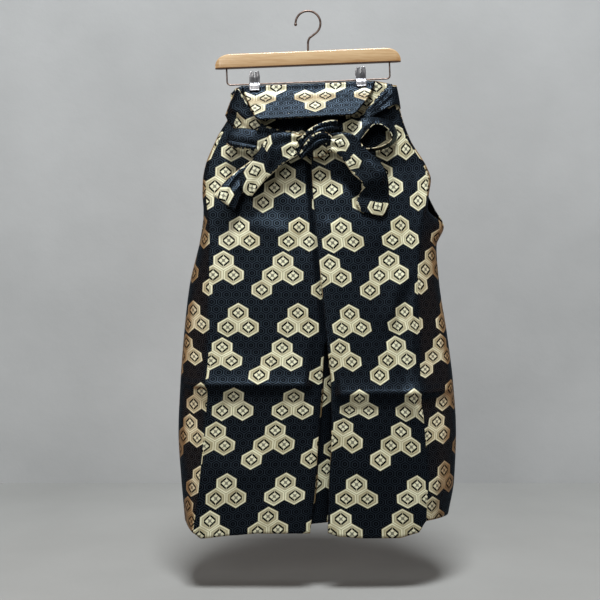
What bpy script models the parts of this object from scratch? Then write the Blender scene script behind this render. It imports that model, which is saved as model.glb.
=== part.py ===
"""Hakama trousers hung by their waist on a wooden clip hanger.

The garment's back faces -Y. Left and right are those of a viewer who looks along +Y, and of the wearer.
The origin is the highest point inside the hanger's hook, where a rail carries it. Units are metres, +Z up.

The cloth is a set of walls lofted through plans taken at a few heights. A plan runs from the side seam
round the side crease, across the leg, and in at the centre.
"""

import math
from collections import namedtuple

import bmesh
import bpy
from mathutils import Matrix, Vector

# ---------------------------------------------------------------- driving dimensions
CLOTH = 0.0012  # brocade wall
SEAM_GAP = 0.0003  # between two pieces that touch
BAND_CLOTH = 0.0016  # doubled cloth of the ties and the waistband

TILT = math.radians(2.3)  # the hanger hangs a little higher on the right

HOOK_WIRE = 0.0044
HOOK_RADIUS = 0.0255  # to the middle of the wire
HOOK_TIP_ANGLE, HOOK_END_ANGLE = 184, -50  # degrees, from the open tip to where the bend turns back
HOOK_STEPS = 20
# The back bend and the stem, as distance out and height.
HOOK_STEM = ((0.0085, -0.0490), (0.0030, -0.0535), (0.0004, -0.0600), (0.0, -0.0660), (0.0, -0.0800))

BAR_LENGTH, BAR_HEIGHT, BAR_THICK = 0.380, 0.029, 0.014
BAR_SHOULDER = (0.034, 0.024)  # rounded upper corners, along and down
BAR_FOOT_ROUND = 0.002
BAR_EDGE_ROUND = 0.0025
BAR_FOOT_Z = -0.1098  # middle of the bar's underside

WIRE = 0.0032
WIRE_SPAN = 0.334  # between the two upright ends
WIRE_DROP = 0.0335  # bar's underside to the middle of the rod
WIRE_CORNER = 0.007

CLIP_WIDTH = 0.020
CLIP_PLATE = 0.0014
CLIP_AT = (-0.1105, 0.1068)  # along the rod
# A plate's side view from its thumb end to its lips: out from the rod, and above it.
CLIP_ARM = ((0.0098, 0.0240), (0.0085, 0.0120), (0.0062, 0.0035), (0.0062, -0.0005))
CLIP_LIPS = {"near": ((0.0144, -0.0046), (0.0156, -0.0165)), "far": ((0.0134, -0.0036), (0.0134, -0.0165))}
BARREL_OUT, BARREL_IN, BARREL_LENGTH = 0.0050, 0.0019, 0.0160

# Garment levels
CROTCH_Z = -0.680
PLEAT_UNDER = 0.028  # how far the centre pleat's layers run under
CENTRE_FRONT_IN = 0.020  # far centre seam, to the right of the back fold
LEG_GAP = 0.008  # between the two inner leg walls at the far side
LEG_PARTING = 0.100  # height below the crotch over which that gap opens
PLEAT_DEPTH = 0.018  # turned-under depth of a front pleat
SEAM_TURN = 0.003  # how far a front panel's centre edge turns in towards the inner leg
STEP_BACK = 0.012  # the left back panel starts to step down this far before the fold, or its inner edge
SIDE_STEPS, FACE_STEPS = 4, 6  # points from a side edge to the crease, and from there to the centre
SIDE_BEND = (0.12, 0.55)  # where a side's curve bends, as shares of the way to the crease in x and y

# Back panels: the free edge or side seam, and the side crease, at each height.
Side = namedtuple("Side", "z edge_x edge_y crease_x crease_y")
BACK_LEFT = (
    Side(-0.160, -0.158, -0.0040, -0.149, -0.0050),
    Side(-0.200, -0.1575, -0.0050, -0.150, -0.0085),
    Side(-0.260, -0.186, -0.0060, -0.178, -0.0120),
    Side(-0.320, -0.210, -0.0080, -0.202, -0.0170),
    Side(-0.345, -0.214, -0.0090, -0.206, -0.0200),
    Side(-0.375, -0.215, -0.0080, -0.206, -0.0250),
    Side(-0.405, -0.213, -0.0070, -0.203, -0.0310),
    Side(-0.440, -0.214, -0.0050, -0.199, -0.0370),
    Side(-0.480, -0.223, -0.0002, -0.197, -0.0440),
    Side(-0.560, -0.242, -0.0002, -0.197, -0.0540),
    Side(-0.660, -0.2535, -0.0002, -0.1955, -0.0610),
    Side(-0.680, -0.255, -0.0002, -0.196, -0.0620),
    Side(-0.760, -0.261, -0.0002, -0.1985, -0.0650),
    Side(-0.860, -0.265, -0.0002, -0.2065, -0.0670),
    Side(-0.960, -0.259, -0.0002, -0.2165, -0.0690),
    Side(-1.050, -0.252, -0.0002, -0.2280, -0.0680),
)
BACK_RIGHT = (
    Side(-0.160, 0.182, -0.0040, 0.174, -0.0050),
    Side(-0.200, 0.1875, -0.0050, 0.180, -0.0085),
    Side(-0.260, 0.207, -0.0060, 0.200, -0.0120),
    Side(-0.320, 0.242, -0.0090, 0.235, -0.0170),
    Side(-0.345, 0.250, -0.0110, 0.243, -0.0210),
    Side(-0.375, 0.2455, -0.0130, 0.240, -0.0270),
    Side(-0.405, 0.2430, -0.0150, 0.235, -0.0320),
    Side(-0.440, 0.278, -0.0002, 0.226, -0.0390),
    Side(-0.480, 0.263, -0.0002, 0.2225, -0.0450),
    Side(-0.560, 0.269, -0.0002, 0.217, -0.0550),
    Side(-0.660, 0.2845, -0.0002, 0.2195, -0.0630),
    Side(-0.680, 0.287, -0.0002, 0.2195, -0.0640),
    Side(-0.760, 0.297, -0.0002, 0.219, -0.0670),
    Side(-0.860, 0.303, -0.0002, 0.231, -0.0690),
    Side(-0.960, 0.299, -0.0002, 0.2355, -0.0700),
    Side(-1.050, 0.287, -0.0002, 0.234, -0.0640),
)

# The centre: the right panel's fold, the left panel's inner edge, and the gap between pleat layers.
# The far face is the front panels' y, and far_left and far_right are their free edges or seams.
CENTRE_FIELDS = "z fold_x fold_y left_x left_drop layer far_y far_left far_right far_edge_y"
Centre = namedtuple("Centre", CENTRE_FIELDS)
CENTRE = (
    Centre(-0.160, 0.0040, -0.0060, 0.0320, 0.0048, 0.0024, 0.0088, -0.139, 0.150, 0.0040),
    Centre(-0.200, 0.0050, -0.0110, 0.0330, 0.0050, 0.0025, 0.0090, -0.155, 0.172, 0.0040),
    Centre(-0.260, 0.0065, -0.0190, 0.0345, 0.0056, 0.0028, 0.0120, -0.178, 0.198, 0.0040),
    Centre(-0.320, 0.0075, -0.0270, 0.0355, 0.0060, 0.0030, 0.0170, -0.200, 0.228, 0.0040),
    Centre(-0.345, 0.0085, -0.0320, 0.0365, 0.0064, 0.0032, 0.0200, -0.207, 0.238, 0.0040),
    Centre(-0.375, 0.0100, -0.0380, 0.0380, 0.0064, 0.0032, 0.0240, -0.210, 0.246, 0.0030),
    Centre(-0.405, 0.0125, -0.0430, 0.0405, 0.0070, 0.0035, 0.0280, -0.212, 0.260, 0.0020),
    Centre(-0.440, 0.0150, -0.0490, 0.0430, 0.0070, 0.0035, 0.0320, -0.216, 0.278, 0.0002),
    Centre(-0.480, 0.0195, -0.0540, 0.0475, 0.0076, 0.0038, 0.0370, -0.223, 0.263, 0.0002),
    Centre(-0.560, 0.0263, -0.0610, 0.0543, 0.0080, 0.0040, 0.0440, -0.242, 0.269, 0.0002),
    Centre(-0.660, 0.0360, -0.0660, 0.0480, 0.0080, 0.0040, 0.0500, -0.2535, 0.2845, 0.0002),
    Centre(-0.680, 0.0375, -0.0670, 0.0330, 0.0080, 0.0040, 0.0510, -0.255, 0.287, 0.0002),
    Centre(-0.760, 0.0455, -0.0700, 0.0270, 0.0070, 0.0040, 0.0530, -0.261, 0.297, 0.0002),
    Centre(-0.860, 0.0460, -0.0720, 0.0200, 0.0060, 0.0040, 0.0550, -0.265, 0.303, 0.0002),
    Centre(-0.960, 0.0410, -0.0740, 0.0133, 0.0060, 0.0040, 0.0570, -0.259, 0.299, 0.0002),
    Centre(-1.050, 0.0390, -0.0750, 0.0030, 0.0060, 0.0040, 0.0580, -0.252, 0.287, 0.0002),
)

# Edges that aren't level: height against x.
TOP_EDGE = (
    (-0.158, -0.168), (-0.146, -0.157), (-0.136, -0.1535),
    (0.136, -0.1425), (0.172, -0.149), (0.182, -0.176),
)
BACK_HEM = (
    (-0.252, -1.035), (-0.228, -1.051), (-0.212, -1.062), (-0.150, -1.055), (-0.100, -1.0505),
    (0.003, -1.0505), (0.039, -1.0495), (0.060, -1.0565), (0.110, -1.0605), (0.180, -1.0605),
    (0.218, -1.051), (0.234, -1.028), (0.287, -1.027),
)
FRONT_HEM = (
    (-0.252, -1.035), (-0.215, -1.048), (-0.050, -1.056),
    (0.110, -1.056), (0.240, -1.045), (0.287, -1.027),
)
INNER_HEM_Z = -1.034

FRONT_PLEATS_LEFT = (0.34, 0.66)  # as shares of the way from the centre to the crease
FRONT_PLEATS_RIGHT = (0.22, 0.48, 0.74)

# A band of cloth is a ribbon through pairs of edge points.
Rib = namedtuple("Rib", "x1 y1 z1 x2 y2 z2")
# The stiffened back board, turned down: upright where the clips grip it, then leaning out over the ties.
BOARD_THICK = 0.004
BOARD = (
    Rib(-0.1370, -0.0105, -0.1541, 0.1380, -0.0105, -0.1436),
    Rib(-0.1330, -0.0122, -0.1656, 0.1345, -0.0122, -0.1551),
    Rib(-0.1295, -0.0158, -0.1740, 0.1305, -0.0158, -0.1635),
    Rib(-0.1250, -0.0225, -0.1840, 0.1262, -0.0225, -0.1735),
    Rib(-0.1190, -0.0348, -0.1979, 0.1179, -0.0348, -0.1874),
    Rib(-0.1160, -0.0398, -0.2043, 0.1138, -0.0398, -0.1938),
    Rib(-0.1120, -0.0468, -0.2133, 0.1075, -0.0468, -0.2028),
    Rib(-0.1060, -0.0574, -0.2266, 0.0970, -0.0574, -0.2163),
    Rib(-0.0985, -0.0628, -0.2332, 0.0871, -0.0628, -0.2233),
)
WAISTBAND = (
    Rib(-0.128, 0.0112, -0.1525, -0.128, 0.0112, -0.2010),
    Rib(0.000, 0.0112, -0.1478, 0.000, 0.0112, -0.1960),
    Rib(0.136, 0.0112, -0.1420, 0.136, 0.0112, -0.1910),
)
TIE_LEFT = (
    Rib(-0.1284, 0.0112, -0.1535, -0.1284, 0.0112, -0.2020),
    Rib(-0.1500, 0.0105, -0.1560, -0.1540, 0.0105, -0.2090),
    Rib(-0.1620, 0.0070, -0.1580, -0.1650, 0.0070, -0.2110),
    Rib(-0.1650, -0.0035, -0.1590, -0.1678, -0.0035, -0.2120),
    Rib(-0.1600, -0.0110, -0.1590, -0.1650, -0.0115, -0.2140),
    Rib(-0.1425, -0.0120, -0.1590, -0.1560, -0.0132, -0.2200),
    Rib(-0.1265, -0.0140, -0.1830, -0.1457, -0.0170, -0.2350),
    Rib(-0.1030, -0.0270, -0.2200, -0.1240, -0.0250, -0.2500),
    Rib(-0.0850, -0.0290, -0.2380, -0.0980, -0.0290, -0.2620),
    Rib(-0.0115, -0.0315, -0.2600, -0.0115, -0.0315, -0.2900),
)
TIE_RIGHT = (
    Rib(0.1364, 0.0112, -0.1430, 0.1364, 0.0112, -0.1920),
    Rib(0.1620, 0.0105, -0.1450, 0.1680, 0.0105, -0.1960),
    Rib(0.1840, 0.0070, -0.1490, 0.1870, 0.0070, -0.1990),
    Rib(0.1890, -0.0035, -0.1520, 0.1915, -0.0035, -0.2010),
    Rib(0.1830, -0.0100, -0.1540, 0.1850, -0.0110, -0.2030),
    Rib(0.1600, -0.0110, -0.1560, 0.1720, -0.0125, -0.2060),
    Rib(0.1180, -0.0112, -0.1780, 0.1500, -0.0140, -0.2160),
    Rib(0.0980, -0.0150, -0.2070, 0.1150, -0.0180, -0.2340),
    Rib(0.0720, -0.0240, -0.2360, 0.0840, -0.0240, -0.2560),
    Rib(0.0371, -0.0310, -0.2560, 0.0371, -0.0310, -0.2820),
)
LOOP_LEFT = (
    Rib(-0.0115, -0.0480, -0.2580, -0.0115, -0.0480, -0.2900),
    Rib(-0.0400, -0.0480, -0.2530, -0.0400, -0.0480, -0.2980),
    Rib(-0.0750, -0.0480, -0.2540, -0.0750, -0.0480, -0.3000),
    Rib(-0.0970, -0.0462, -0.2570, -0.0970, -0.0462, -0.2950),
    Rib(-0.1250, -0.0435, -0.2560, -0.1230, -0.0435, -0.2900),
    Rib(-0.1500, -0.0405, -0.2570, -0.1480, -0.0405, -0.2880),
    Rib(-0.1590, -0.0372, -0.2590, -0.1590, -0.0372, -0.2860),
    Rib(-0.1500, -0.0340, -0.2570, -0.1480, -0.0340, -0.2880),
    Rib(-0.1250, -0.0355, -0.2560, -0.1230, -0.0355, -0.2900),
    Rib(-0.0970, -0.0390, -0.2570, -0.0970, -0.0390, -0.2950),
    Rib(-0.0700, -0.0408, -0.2560, -0.0700, -0.0408, -0.2980),
    Rib(-0.0115, -0.0410, -0.2600, -0.0115, -0.0410, -0.2900),
)
LOOP_RIGHT_Y = (-0.0520, -0.0360)  # its width runs front to back, so its hollow shows
LOOP_RIGHT_PATH = (
    (0.0371, -0.2620), (0.0700, -0.2540), (0.1050, -0.2420), (0.1370, -0.2370), (0.1580, -0.2440),
    (0.1680, -0.2620), (0.1580, -0.2800), (0.1350, -0.2900), (0.1050, -0.2870), (0.0700, -0.2800),
    (0.0371, -0.2790),
)
TAIL_LEFT = (
    Rib(-0.0115, -0.0530, -0.2570, -0.0115, -0.0530, -0.2950),
    Rib(-0.0487, -0.0545, -0.2600, -0.0245, -0.0545, -0.3035),
    Rib(-0.0770, -0.0540, -0.2790, -0.0487, -0.0540, -0.3177),
    Rib(-0.1053, -0.0510, -0.3056, -0.0689, -0.0510, -0.3360),
    Rib(-0.1255, -0.0490, -0.3320, -0.0891, -0.0490, -0.3560),
    Rib(-0.1356, -0.0480, -0.3600, -0.1033, -0.0480, -0.3740),
    Rib(-0.1255, -0.0470, -0.3820, -0.1113, -0.0470, -0.3840),
)
TAIL_UNDER = (
    Rib(-0.0115, -0.0362, -0.2700, -0.0115, -0.0362, -0.2960),
    Rib(-0.0800, -0.0362, -0.2900, -0.0600, -0.0362, -0.3250),
    Rib(-0.1376, -0.0400, -0.3280, -0.1150, -0.0400, -0.3550),
    Rib(-0.1660, -0.0410, -0.3560, -0.1315, -0.0410, -0.3780),
    Rib(-0.1880, -0.0420, -0.3840, -0.1457, -0.0430, -0.4120),
)
TAIL_RIGHT = (
    Rib(0.0371, -0.0555, -0.2580, 0.0371, -0.0555, -0.2940),
    Rib(0.0846, -0.0570, -0.2590, 0.0600, -0.0570, -0.3015),
    Rib(0.1129, -0.0560, -0.2870, 0.0745, -0.0560, -0.3197),
    Rib(0.1410, -0.0530, -0.3137, 0.0886, -0.0530, -0.3400),
    Rib(0.1570, -0.0510, -0.3440, 0.1088, -0.0510, -0.3600),
    Rib(0.1614, -0.0500, -0.3820, 0.1008, -0.0500, -0.3820),
    Rib(0.1593, -0.0510, -0.4045, 0.0947, -0.0510, -0.3945),
    Rib(0.1450, -0.0510, -0.4147, 0.1088, -0.0510, -0.4106),
)
KNOT_LOW, KNOT_HIGH = (-0.0108, -0.0620, -0.3010), (0.0364, -0.0262, -0.2500)
KNOT_ROUND = 0.005


# ---------------------------------------------------------------- scene and materials
def clear_scene():
    """Remove whatever the file opened with."""
    for obj in list(bpy.data.objects):
        bpy.data.objects.remove(obj, do_unlink=True)


def collection(name):
    """A new collection under the scene's own."""
    made = bpy.data.collections.new(name)
    bpy.context.scene.collection.children.link(made)
    return made


def material(name, colour, roughness, metallic=0.0):
    """A Principled material of one colour."""
    made = bpy.data.materials.new(name)
    made.use_nodes = True
    shader = made.node_tree.nodes["Principled BSDF"]
    shader.inputs["Base Color"].default_value = (*colour, 1.0)
    shader.inputs["Roughness"].default_value = roughness
    shader.inputs["Metallic"].default_value = metallic
    return made


clear_scene()
PARTS = collection("hakama_trousers")
BROCADE = material("brocade", (0.020, 0.026, 0.045), 0.55)
MAPLE = material("maple", (0.62, 0.42, 0.24), 0.40)
STEEL = material("steel", (0.70, 0.69, 0.68), 0.25, 1.0)


def add_part(name, data, finish):
    """Put mesh or curve data in the parts collection under a node name."""
    obj = bpy.data.objects.new(name, data)
    obj.data.materials.append(finish)
    PARTS.objects.link(obj)
    return obj


# ---------------------------------------------------------------- cloth walls
def wall(name, grid, thickness, outside, finish=BROCADE):
    """A wall on a grid of points, rows by columns, thickened both ways.

    outside is a direction that the first cell's normal should agree with.
    """
    mesh = bpy.data.meshes.new(name)
    builder = bmesh.new()
    rows = [[builder.verts.new(point) for point in row] for row in grid]
    for upper, lower in zip(rows, rows[1:]):
        for i in range(len(upper) - 1):
            builder.faces.new((upper[i], lower[i], lower[i + 1], upper[i + 1]))
    builder.faces.ensure_lookup_table()
    builder.normal_update()
    if builder.faces[0].normal.dot(outside) < 0:
        bmesh.ops.reverse_faces(builder, faces=builder.faces)
    builder.to_mesh(mesh)
    builder.free()
    mesh.shade_smooth()
    obj = add_part(name, mesh, finish)
    solid = obj.modifiers.new("thickness", "SOLIDIFY")
    solid.thickness = thickness
    solid.offset = 0.0
    solid.use_even_offset = True
    solid.use_quality_normals = True
    return obj


def along(table, x):
    """Height from a table of (x, z) by straight lines, level beyond its ends."""
    if x <= table[0][0]:
        return table[0][1]
    for (x0, z0), (x1, z1) in zip(table, table[1:]):
        if x <= x1:
            return z0 + (z1 - z0) * (x - x0) / (x1 - x0)
    return table[-1][1]


def lerp(a, b, t):
    """The value a share t of the way from a to b."""
    return a + (b - a) * t


def side_curve(edge, crease, count):
    """Points from a side edge to the crease, leaving the edge square to the seam plane."""
    bend = Vector((lerp(edge[0], crease[0], SIDE_BEND[0]), lerp(edge[1], crease[1], SIDE_BEND[1])))
    points = []
    for i in range(count):
        t = i / count
        near_edge, near_bend = Vector(edge).lerp(bend, t), Vector(bend).lerp(crease, t)
        points.append(tuple(near_edge.lerp(near_bend, t)))
    return points


def arc(centre, radius, start_degrees, turn_degrees, count):
    """Points on an arc, its two ends included."""
    points = []
    for i in range(count + 1):
        angle = math.radians(start_degrees + turn_degrees * i / count)
        points.append((centre[0] + radius * math.cos(angle), centre[1] + radius * math.sin(angle)))
    return points


def back_face(side, x_end, y_end):
    """Points across the back from just past the crease to the centre, gently crowned."""
    points = []
    for i in range(1, FACE_STEPS + 1):
        t = i / FACE_STEPS
        crown = math.sin(t * math.pi / 2)
        points.append((lerp(side.crease_x, x_end, t), lerp(side.crease_y, y_end, crown)))
    return points


def back_right_plan(side, centre):
    """Plan of the right back panel: seam, crease, face, fold, and the layer turned under."""
    radius = centre.layer / 2
    plan = side_curve((side.edge_x, side.edge_y), (side.crease_x, side.crease_y), SIDE_STEPS)
    plan.append((side.crease_x, side.crease_y))
    plan += back_face(side, centre.fold_x + radius, centre.fold_y)
    plan += arc((centre.fold_x + radius, centre.fold_y + radius), radius, 270, -180, 4)[1:]
    plan.append((centre.fold_x + PLEAT_UNDER / 2, centre.fold_y + centre.layer))
    plan.append((centre.fold_x + PLEAT_UNDER, centre.fold_y + centre.layer))
    return plan


def back_left_plan(side, centre):
    """Plan of the left back panel: seam, crease, face, and the step down to its inner edge."""
    plan = side_curve((side.edge_x, side.edge_y), (side.crease_x, side.crease_y), SIDE_STEPS)
    plan.append((side.crease_x, side.crease_y))
    under = above_crotch(centre)
    step_x = (centre.fold_x if under else centre.left_x) - STEP_BACK
    plan += back_face(side, step_x, centre.fold_y + 0.001)
    inner_y = centre.fold_y + centre.left_drop
    plan.append((step_x + 0.007, lerp(centre.fold_y, inner_y, 0.80 if under else 0.35)))
    plan.append((step_x + 0.0115, inner_y - (0.0 if under else 0.002)))
    plan.append((centre.left_x, inner_y))
    return plan


def above_crotch(centre):
    """Whether a row of the centre table lies above the crotch, where the legs are one."""
    return centre.z > CROTCH_Z + 0.001


def inner_far_x(centre, sign):
    """Where an inner leg wall meets the far face; the two legs part below the crotch."""
    if above_crotch(centre):
        return centre.fold_x + CENTRE_FRONT_IN + sign * 1.4 * SEAM_GAP
    share = min((CROTCH_Z - centre.z) / LEG_PARTING, 1.0)
    return centre.fold_x + CENTRE_FRONT_IN + sign * lerp((CLOTH + SEAM_GAP) / 2, LEG_GAP / 2, share)


def front_plan(centre, sign, pleats):
    """Plan of a front panel from the far centre out through its pleats to the side seam."""
    x_in = inner_far_x(centre, sign)
    layer = centre.layer
    deep, top = centre.far_y - 2 * layer, centre.far_y
    edge_x = centre.far_left if sign < 0 else centre.far_right
    crease_x = edge_x - sign * lerp(0.012, 0.034, min(1.0, top / 0.05))
    corner = 0.0 if above_crotch(centre) else SEAM_TURN
    plan = [(x_in, deep - corner), (x_in + sign * 0.0006, deep - corner / 4), (x_in + sign * 0.004, deep)]
    for share in pleats:
        x = lerp(x_in, crease_x, share)
        radius = layer / 2
        out, back = x + sign * PLEAT_DEPTH, x
        plan += arc((out, deep + radius), radius, 270, sign * 180, 3)
        plan += arc((back, deep + 3 * radius), radius, 270, -sign * 180, 3)
    plan.append((crease_x - sign * 0.006, top))
    plan.append((crease_x + sign * 0.008, lerp(centre.far_edge_y, top, 0.88)))
    plan.append((lerp(crease_x, edge_x, 0.75), lerp(centre.far_edge_y, top, 0.55)))
    plan.append((lerp(crease_x, edge_x, 0.96), lerp(centre.far_edge_y, top, 0.22)))
    plan.append((edge_x, centre.far_edge_y))
    return plan


def levelled(plan, z, first, last, top, hem):
    """Give a plan its heights: level, or along the top edge or hem."""
    if first:
        return [Vector((x, y, along(top, x))) for x, y in plan]
    if last:
        return [Vector((x, y, along(hem, x))) for x, y in plan]
    return [Vector((x, y, z)) for x, y in plan]


def make_body_panels():
    """The four body panels, back and front, left and right."""
    last = len(CENTRE) - 1
    grids = {"back_panel_left": [], "back_panel_right": [], "front_panel_left": [], "front_panel_right": []}
    for i, (left, right, centre) in enumerate(zip(BACK_LEFT, BACK_RIGHT, CENTRE)):
        plans = {
            "back_panel_left": (back_left_plan(left, centre), BACK_HEM),
            "back_panel_right": (back_right_plan(right, centre), BACK_HEM),
            "front_panel_left": (front_plan(centre, -1, FRONT_PLEATS_LEFT), FRONT_HEM),
            "front_panel_right": (front_plan(centre, 1, FRONT_PLEATS_RIGHT), FRONT_HEM),
        }
        for name, (plan, hem) in plans.items():
            grids[name].append(levelled(plan, centre.z, i == 0, i == last, TOP_EDGE, hem))
    for name, grid in grids.items():
        outward = Vector((-1 if name.endswith("left") else 1, 0, 0))
        if name.startswith("front"):
            outward = Vector((0, 1, 0))
        wall(name, grid, CLOTH, outward)


def make_inner_legs():
    """The inner wall of each leg, from the crotch to a hem a little shorter than the outer one."""
    left, right = [], []
    rows = [row for row in CENTRE if not above_crotch(row)]
    above, hem = rows[-2:]
    share = (INNER_HEM_Z - above.z) / (hem.z - above.z)
    rows[-1] = Centre(*(lerp(a, b, share) for a, b in zip(above, hem)))
    for row in rows:
        far_y = row.far_y - 2 * row.layer - SEAM_TURN - SEAM_GAP
        left_far, right_far = inner_far_x(row, -1), inner_far_x(row, 1)
        start = (row.left_x, row.fold_y + row.left_drop + CLOTH / 2 + SEAM_GAP)
        left_plan = [
            start,
            (row.left_x + 0.004, start[1] + 0.006),
            (lerp(row.left_x, left_far, 0.6), start[1] + 0.016),
            (left_far, start[1] + 0.032),
            (left_far, lerp(start[1] + 0.032, far_y, 0.5)),
            (left_far, far_y),
        ]
        start = (row.fold_x + PLEAT_UNDER + SEAM_GAP, row.fold_y + row.layer)
        right_plan = [
            start,
            (start[0] + 0.002, start[1]),
            (start[0] + 0.001, start[1] + 0.020),
            (right_far, start[1] + 0.040),
            (right_far, lerp(start[1] + 0.040, far_y, 0.5)),
            (right_far, far_y),
        ]
        left.append([Vector((x, y, row.z)) for x, y in left_plan])
        right.append([Vector((x, y, row.z)) for x, y in right_plan])
    wall("inner_leg_left", left, CLOTH, Vector((1, -1, 0)))
    wall("inner_leg_right", right, CLOTH, Vector((-1, 0, 0)))


# ---------------------------------------------------------------- board, bands and bow
def ribbon(name, rows, outside, thickness=BAND_CLOTH):
    """A band through its pairs of edge points."""
    grid = []
    for row in rows:
        upper, lower = Vector(row[:3]), Vector(row[3:])
        grid.append([upper, upper.lerp(lower, 0.5), lower])
    wall(name, grid, thickness, outside)


def make_bands():
    """The back board, the front waistband, the two ties, and the bow's loops and tails."""
    far, near = Vector((0, 1, 0)), Vector((0, -1, 0))
    ribbon("back_board", BOARD, near, BOARD_THICK)
    ribbon("front_waistband", WAISTBAND, far)
    ribbon("tie_left", TIE_LEFT, far)
    ribbon("tie_right", TIE_RIGHT, far)
    ribbon("bow_loop_left", LOOP_LEFT, near)
    front, back = LOOP_RIGHT_Y
    loop = [Rib(x, front, z, x, back, z) for x, z in LOOP_RIGHT_PATH]
    ribbon("bow_loop_right", loop, Vector((0, 0, 1)))
    ribbon("bow_tail_left", TAIL_LEFT, near)
    ribbon("bow_tail_under", TAIL_UNDER, near)
    ribbon("bow_tail_right", TAIL_RIGHT, near)


def make_knot():
    """The bow's knot: a rounded block that the loops and tails end on."""
    low, high = Vector(KNOT_LOW), Vector(KNOT_HIGH)
    builder = bmesh.new()
    bmesh.ops.create_cube(builder, size=1.0)
    bmesh.ops.scale(builder, vec=high - low, verts=builder.verts)
    bmesh.ops.translate(builder, vec=(high + low) / 2, verts=builder.verts)
    mesh = bpy.data.meshes.new("bow_knot")
    builder.to_mesh(mesh)
    builder.free()
    bevel = add_part("bow_knot", mesh, BROCADE).modifiers.new("round", "BEVEL")
    bevel.width = KNOT_ROUND
    bevel.segments = 3


# ---------------------------------------------------------------- hanger
def hanger_frame():
    """The tilt of the bar and its wire, about the middle of the bar's underside."""
    return Matrix.Translation((0, 0, BAR_FOOT_Z)) @ Matrix.Rotation(-TILT, 4, "Y")


def wire_curve(name, points, diameter, finish):
    """A round wire through points, with closed ends."""
    curve = bpy.data.curves.new(name, "CURVE")
    curve.dimensions = "3D"
    curve.bevel_depth = diameter / 2
    curve.bevel_resolution = 2
    curve.use_fill_caps = True
    spline = curve.splines.new("POLY")
    spline.points.add(len(points) - 1)
    for point, place in zip(spline.points, points):
        point.co = (*place, 1)
    return add_part(name, curve, finish)


def make_bar():
    """The wooden bar: straight underside, rounded shoulders."""
    half, (along_x, down_z) = BAR_LENGTH / 2, BAR_SHOULDER
    shoulder = []
    for i in range(7):
        angle = math.radians(90 * i / 6)
        z = BAR_HEIGHT - down_z + down_z * math.sin(angle)
        shoulder.append((half - along_x + along_x * math.cos(angle), z))
    right = [(half - BAR_FOOT_ROUND, 0.0), (half, BAR_FOOT_ROUND)] + shoulder
    points = right + [(-x, z) for x, z in reversed(right)]
    outline = bpy.data.curves.new("hanger_bar", "CURVE")
    outline.dimensions = "2D"
    outline.fill_mode = "BOTH"
    outline.extrude = BAR_THICK / 2
    spline = outline.splines.new("POLY")
    spline.points.add(len(points) - 1)
    for point, (x, z) in zip(spline.points, points):
        point.co = (x, z, 0, 1)
    spline.use_cyclic_u = True
    bar = add_part("hanger_bar", outline, MAPLE)
    bar.matrix_world = hanger_frame() @ Matrix.Rotation(math.pi / 2, 4, "X")
    weld = bar.modifiers.new("weld", "WELD")
    weld.merge_threshold = 0.0001
    bevel = bar.modifiers.new("round", "BEVEL")
    bevel.width = BAR_EDGE_ROUND
    bevel.segments = 2
    bevel.limit_method = "ANGLE"
    bevel.angle_limit = math.radians(50)


def make_hook():
    """The swivel hook: an open ring, a back bend and a straight stem."""
    turn = HOOK_END_ANGLE - HOOK_TIP_ANGLE
    ring = arc((0, HOOK_WIRE / 2 - HOOK_RADIUS), HOOK_RADIUS, HOOK_TIP_ANGLE, turn, HOOK_STEPS)
    wire_curve("hanger_hook", [(x, 0, z) for x, z in ring + list(HOOK_STEM)], HOOK_WIRE, STEEL)


def make_wire():
    """The wire frame under the bar, with the rod that carries the clips."""
    half, drop, corner = WIRE_SPAN / 2, WIRE_DROP, WIRE_CORNER
    bend = arc((half - corner, -drop + corner), corner, 0, -90, 3)
    right = [(half, 0, -SEAM_GAP)] + [(x, 0, z) for x, z in bend]
    middle = [(half * t, 0, -drop) for t in (0.6, 0.2, -0.2, -0.6)]
    points = right + middle + [(-x, y, z) for x, y, z in reversed(right)]
    wire = wire_curve("hanger_wire", points, WIRE, STEEL)
    wire.matrix_world = hanger_frame()


def make_clip(name, x):
    """A spring clip: two plates that pinch the cloth, on a barrel."""
    frame = hanger_frame() @ Matrix.Translation((x, 0, -WIRE_DROP))
    for side, sign in (("near", -1), ("far", 1)):
        grid = [
            [frame @ Vector((offset * CLIP_WIDTH, sign * y, z)) for offset in (-0.5, 0.0, 0.5)]
            for y, z in CLIP_ARM + CLIP_LIPS[side]
        ]
        wall(f"{name}_{side}", grid, CLIP_PLATE, Vector((0, sign, 0)), STEEL)
    make_barrel(f"{name}_barrel", frame)


def make_barrel(name, frame):
    """The tube of a clip that slides on the rod."""
    mesh = bpy.data.meshes.new(name)
    builder = bmesh.new()
    end = BARREL_LENGTH / 2
    profile = ((-end, BARREL_IN), (end, BARREL_IN), (end, BARREL_OUT), (-end, BARREL_OUT))
    corners = [builder.verts.new((px, 0, radius)) for px, radius in profile]
    for a, b in zip(corners, corners[1:] + corners[:1]):
        builder.edges.new((a, b))
    builder.to_mesh(mesh)
    builder.free()
    barrel = add_part(name, mesh, STEEL)
    barrel.matrix_world = frame
    screw = barrel.modifiers.new("turn", "SCREW")
    screw.axis = "X"
    screw.steps = screw.render_steps = 16
    screw.use_merge_vertices = True
    screw.merge_threshold = 0.0001


def main():
    """Build the hanger, then the garment from the inside out."""
    make_bar()
    make_hook()
    make_wire()
    for name, x in zip(("clip_left", "clip_right"), CLIP_AT):
        make_clip(name, x)
    make_body_panels()
    make_inner_legs()
    make_bands()
    make_knot()


main()
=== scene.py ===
"""Hakama trousers of hexagon brocade, hung by the waist on a wooden clip hanger.

The garment's back faces -Y. Left and right are those of a viewer who looks along +Y. Places are in the frame
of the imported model, whose origin is the highest point inside the hanger's hook. Sizes are in metres, but the
tables of the garment's shape, its folds, patches and gathers, and its bands' crowns are in millimetres.
"""

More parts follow.
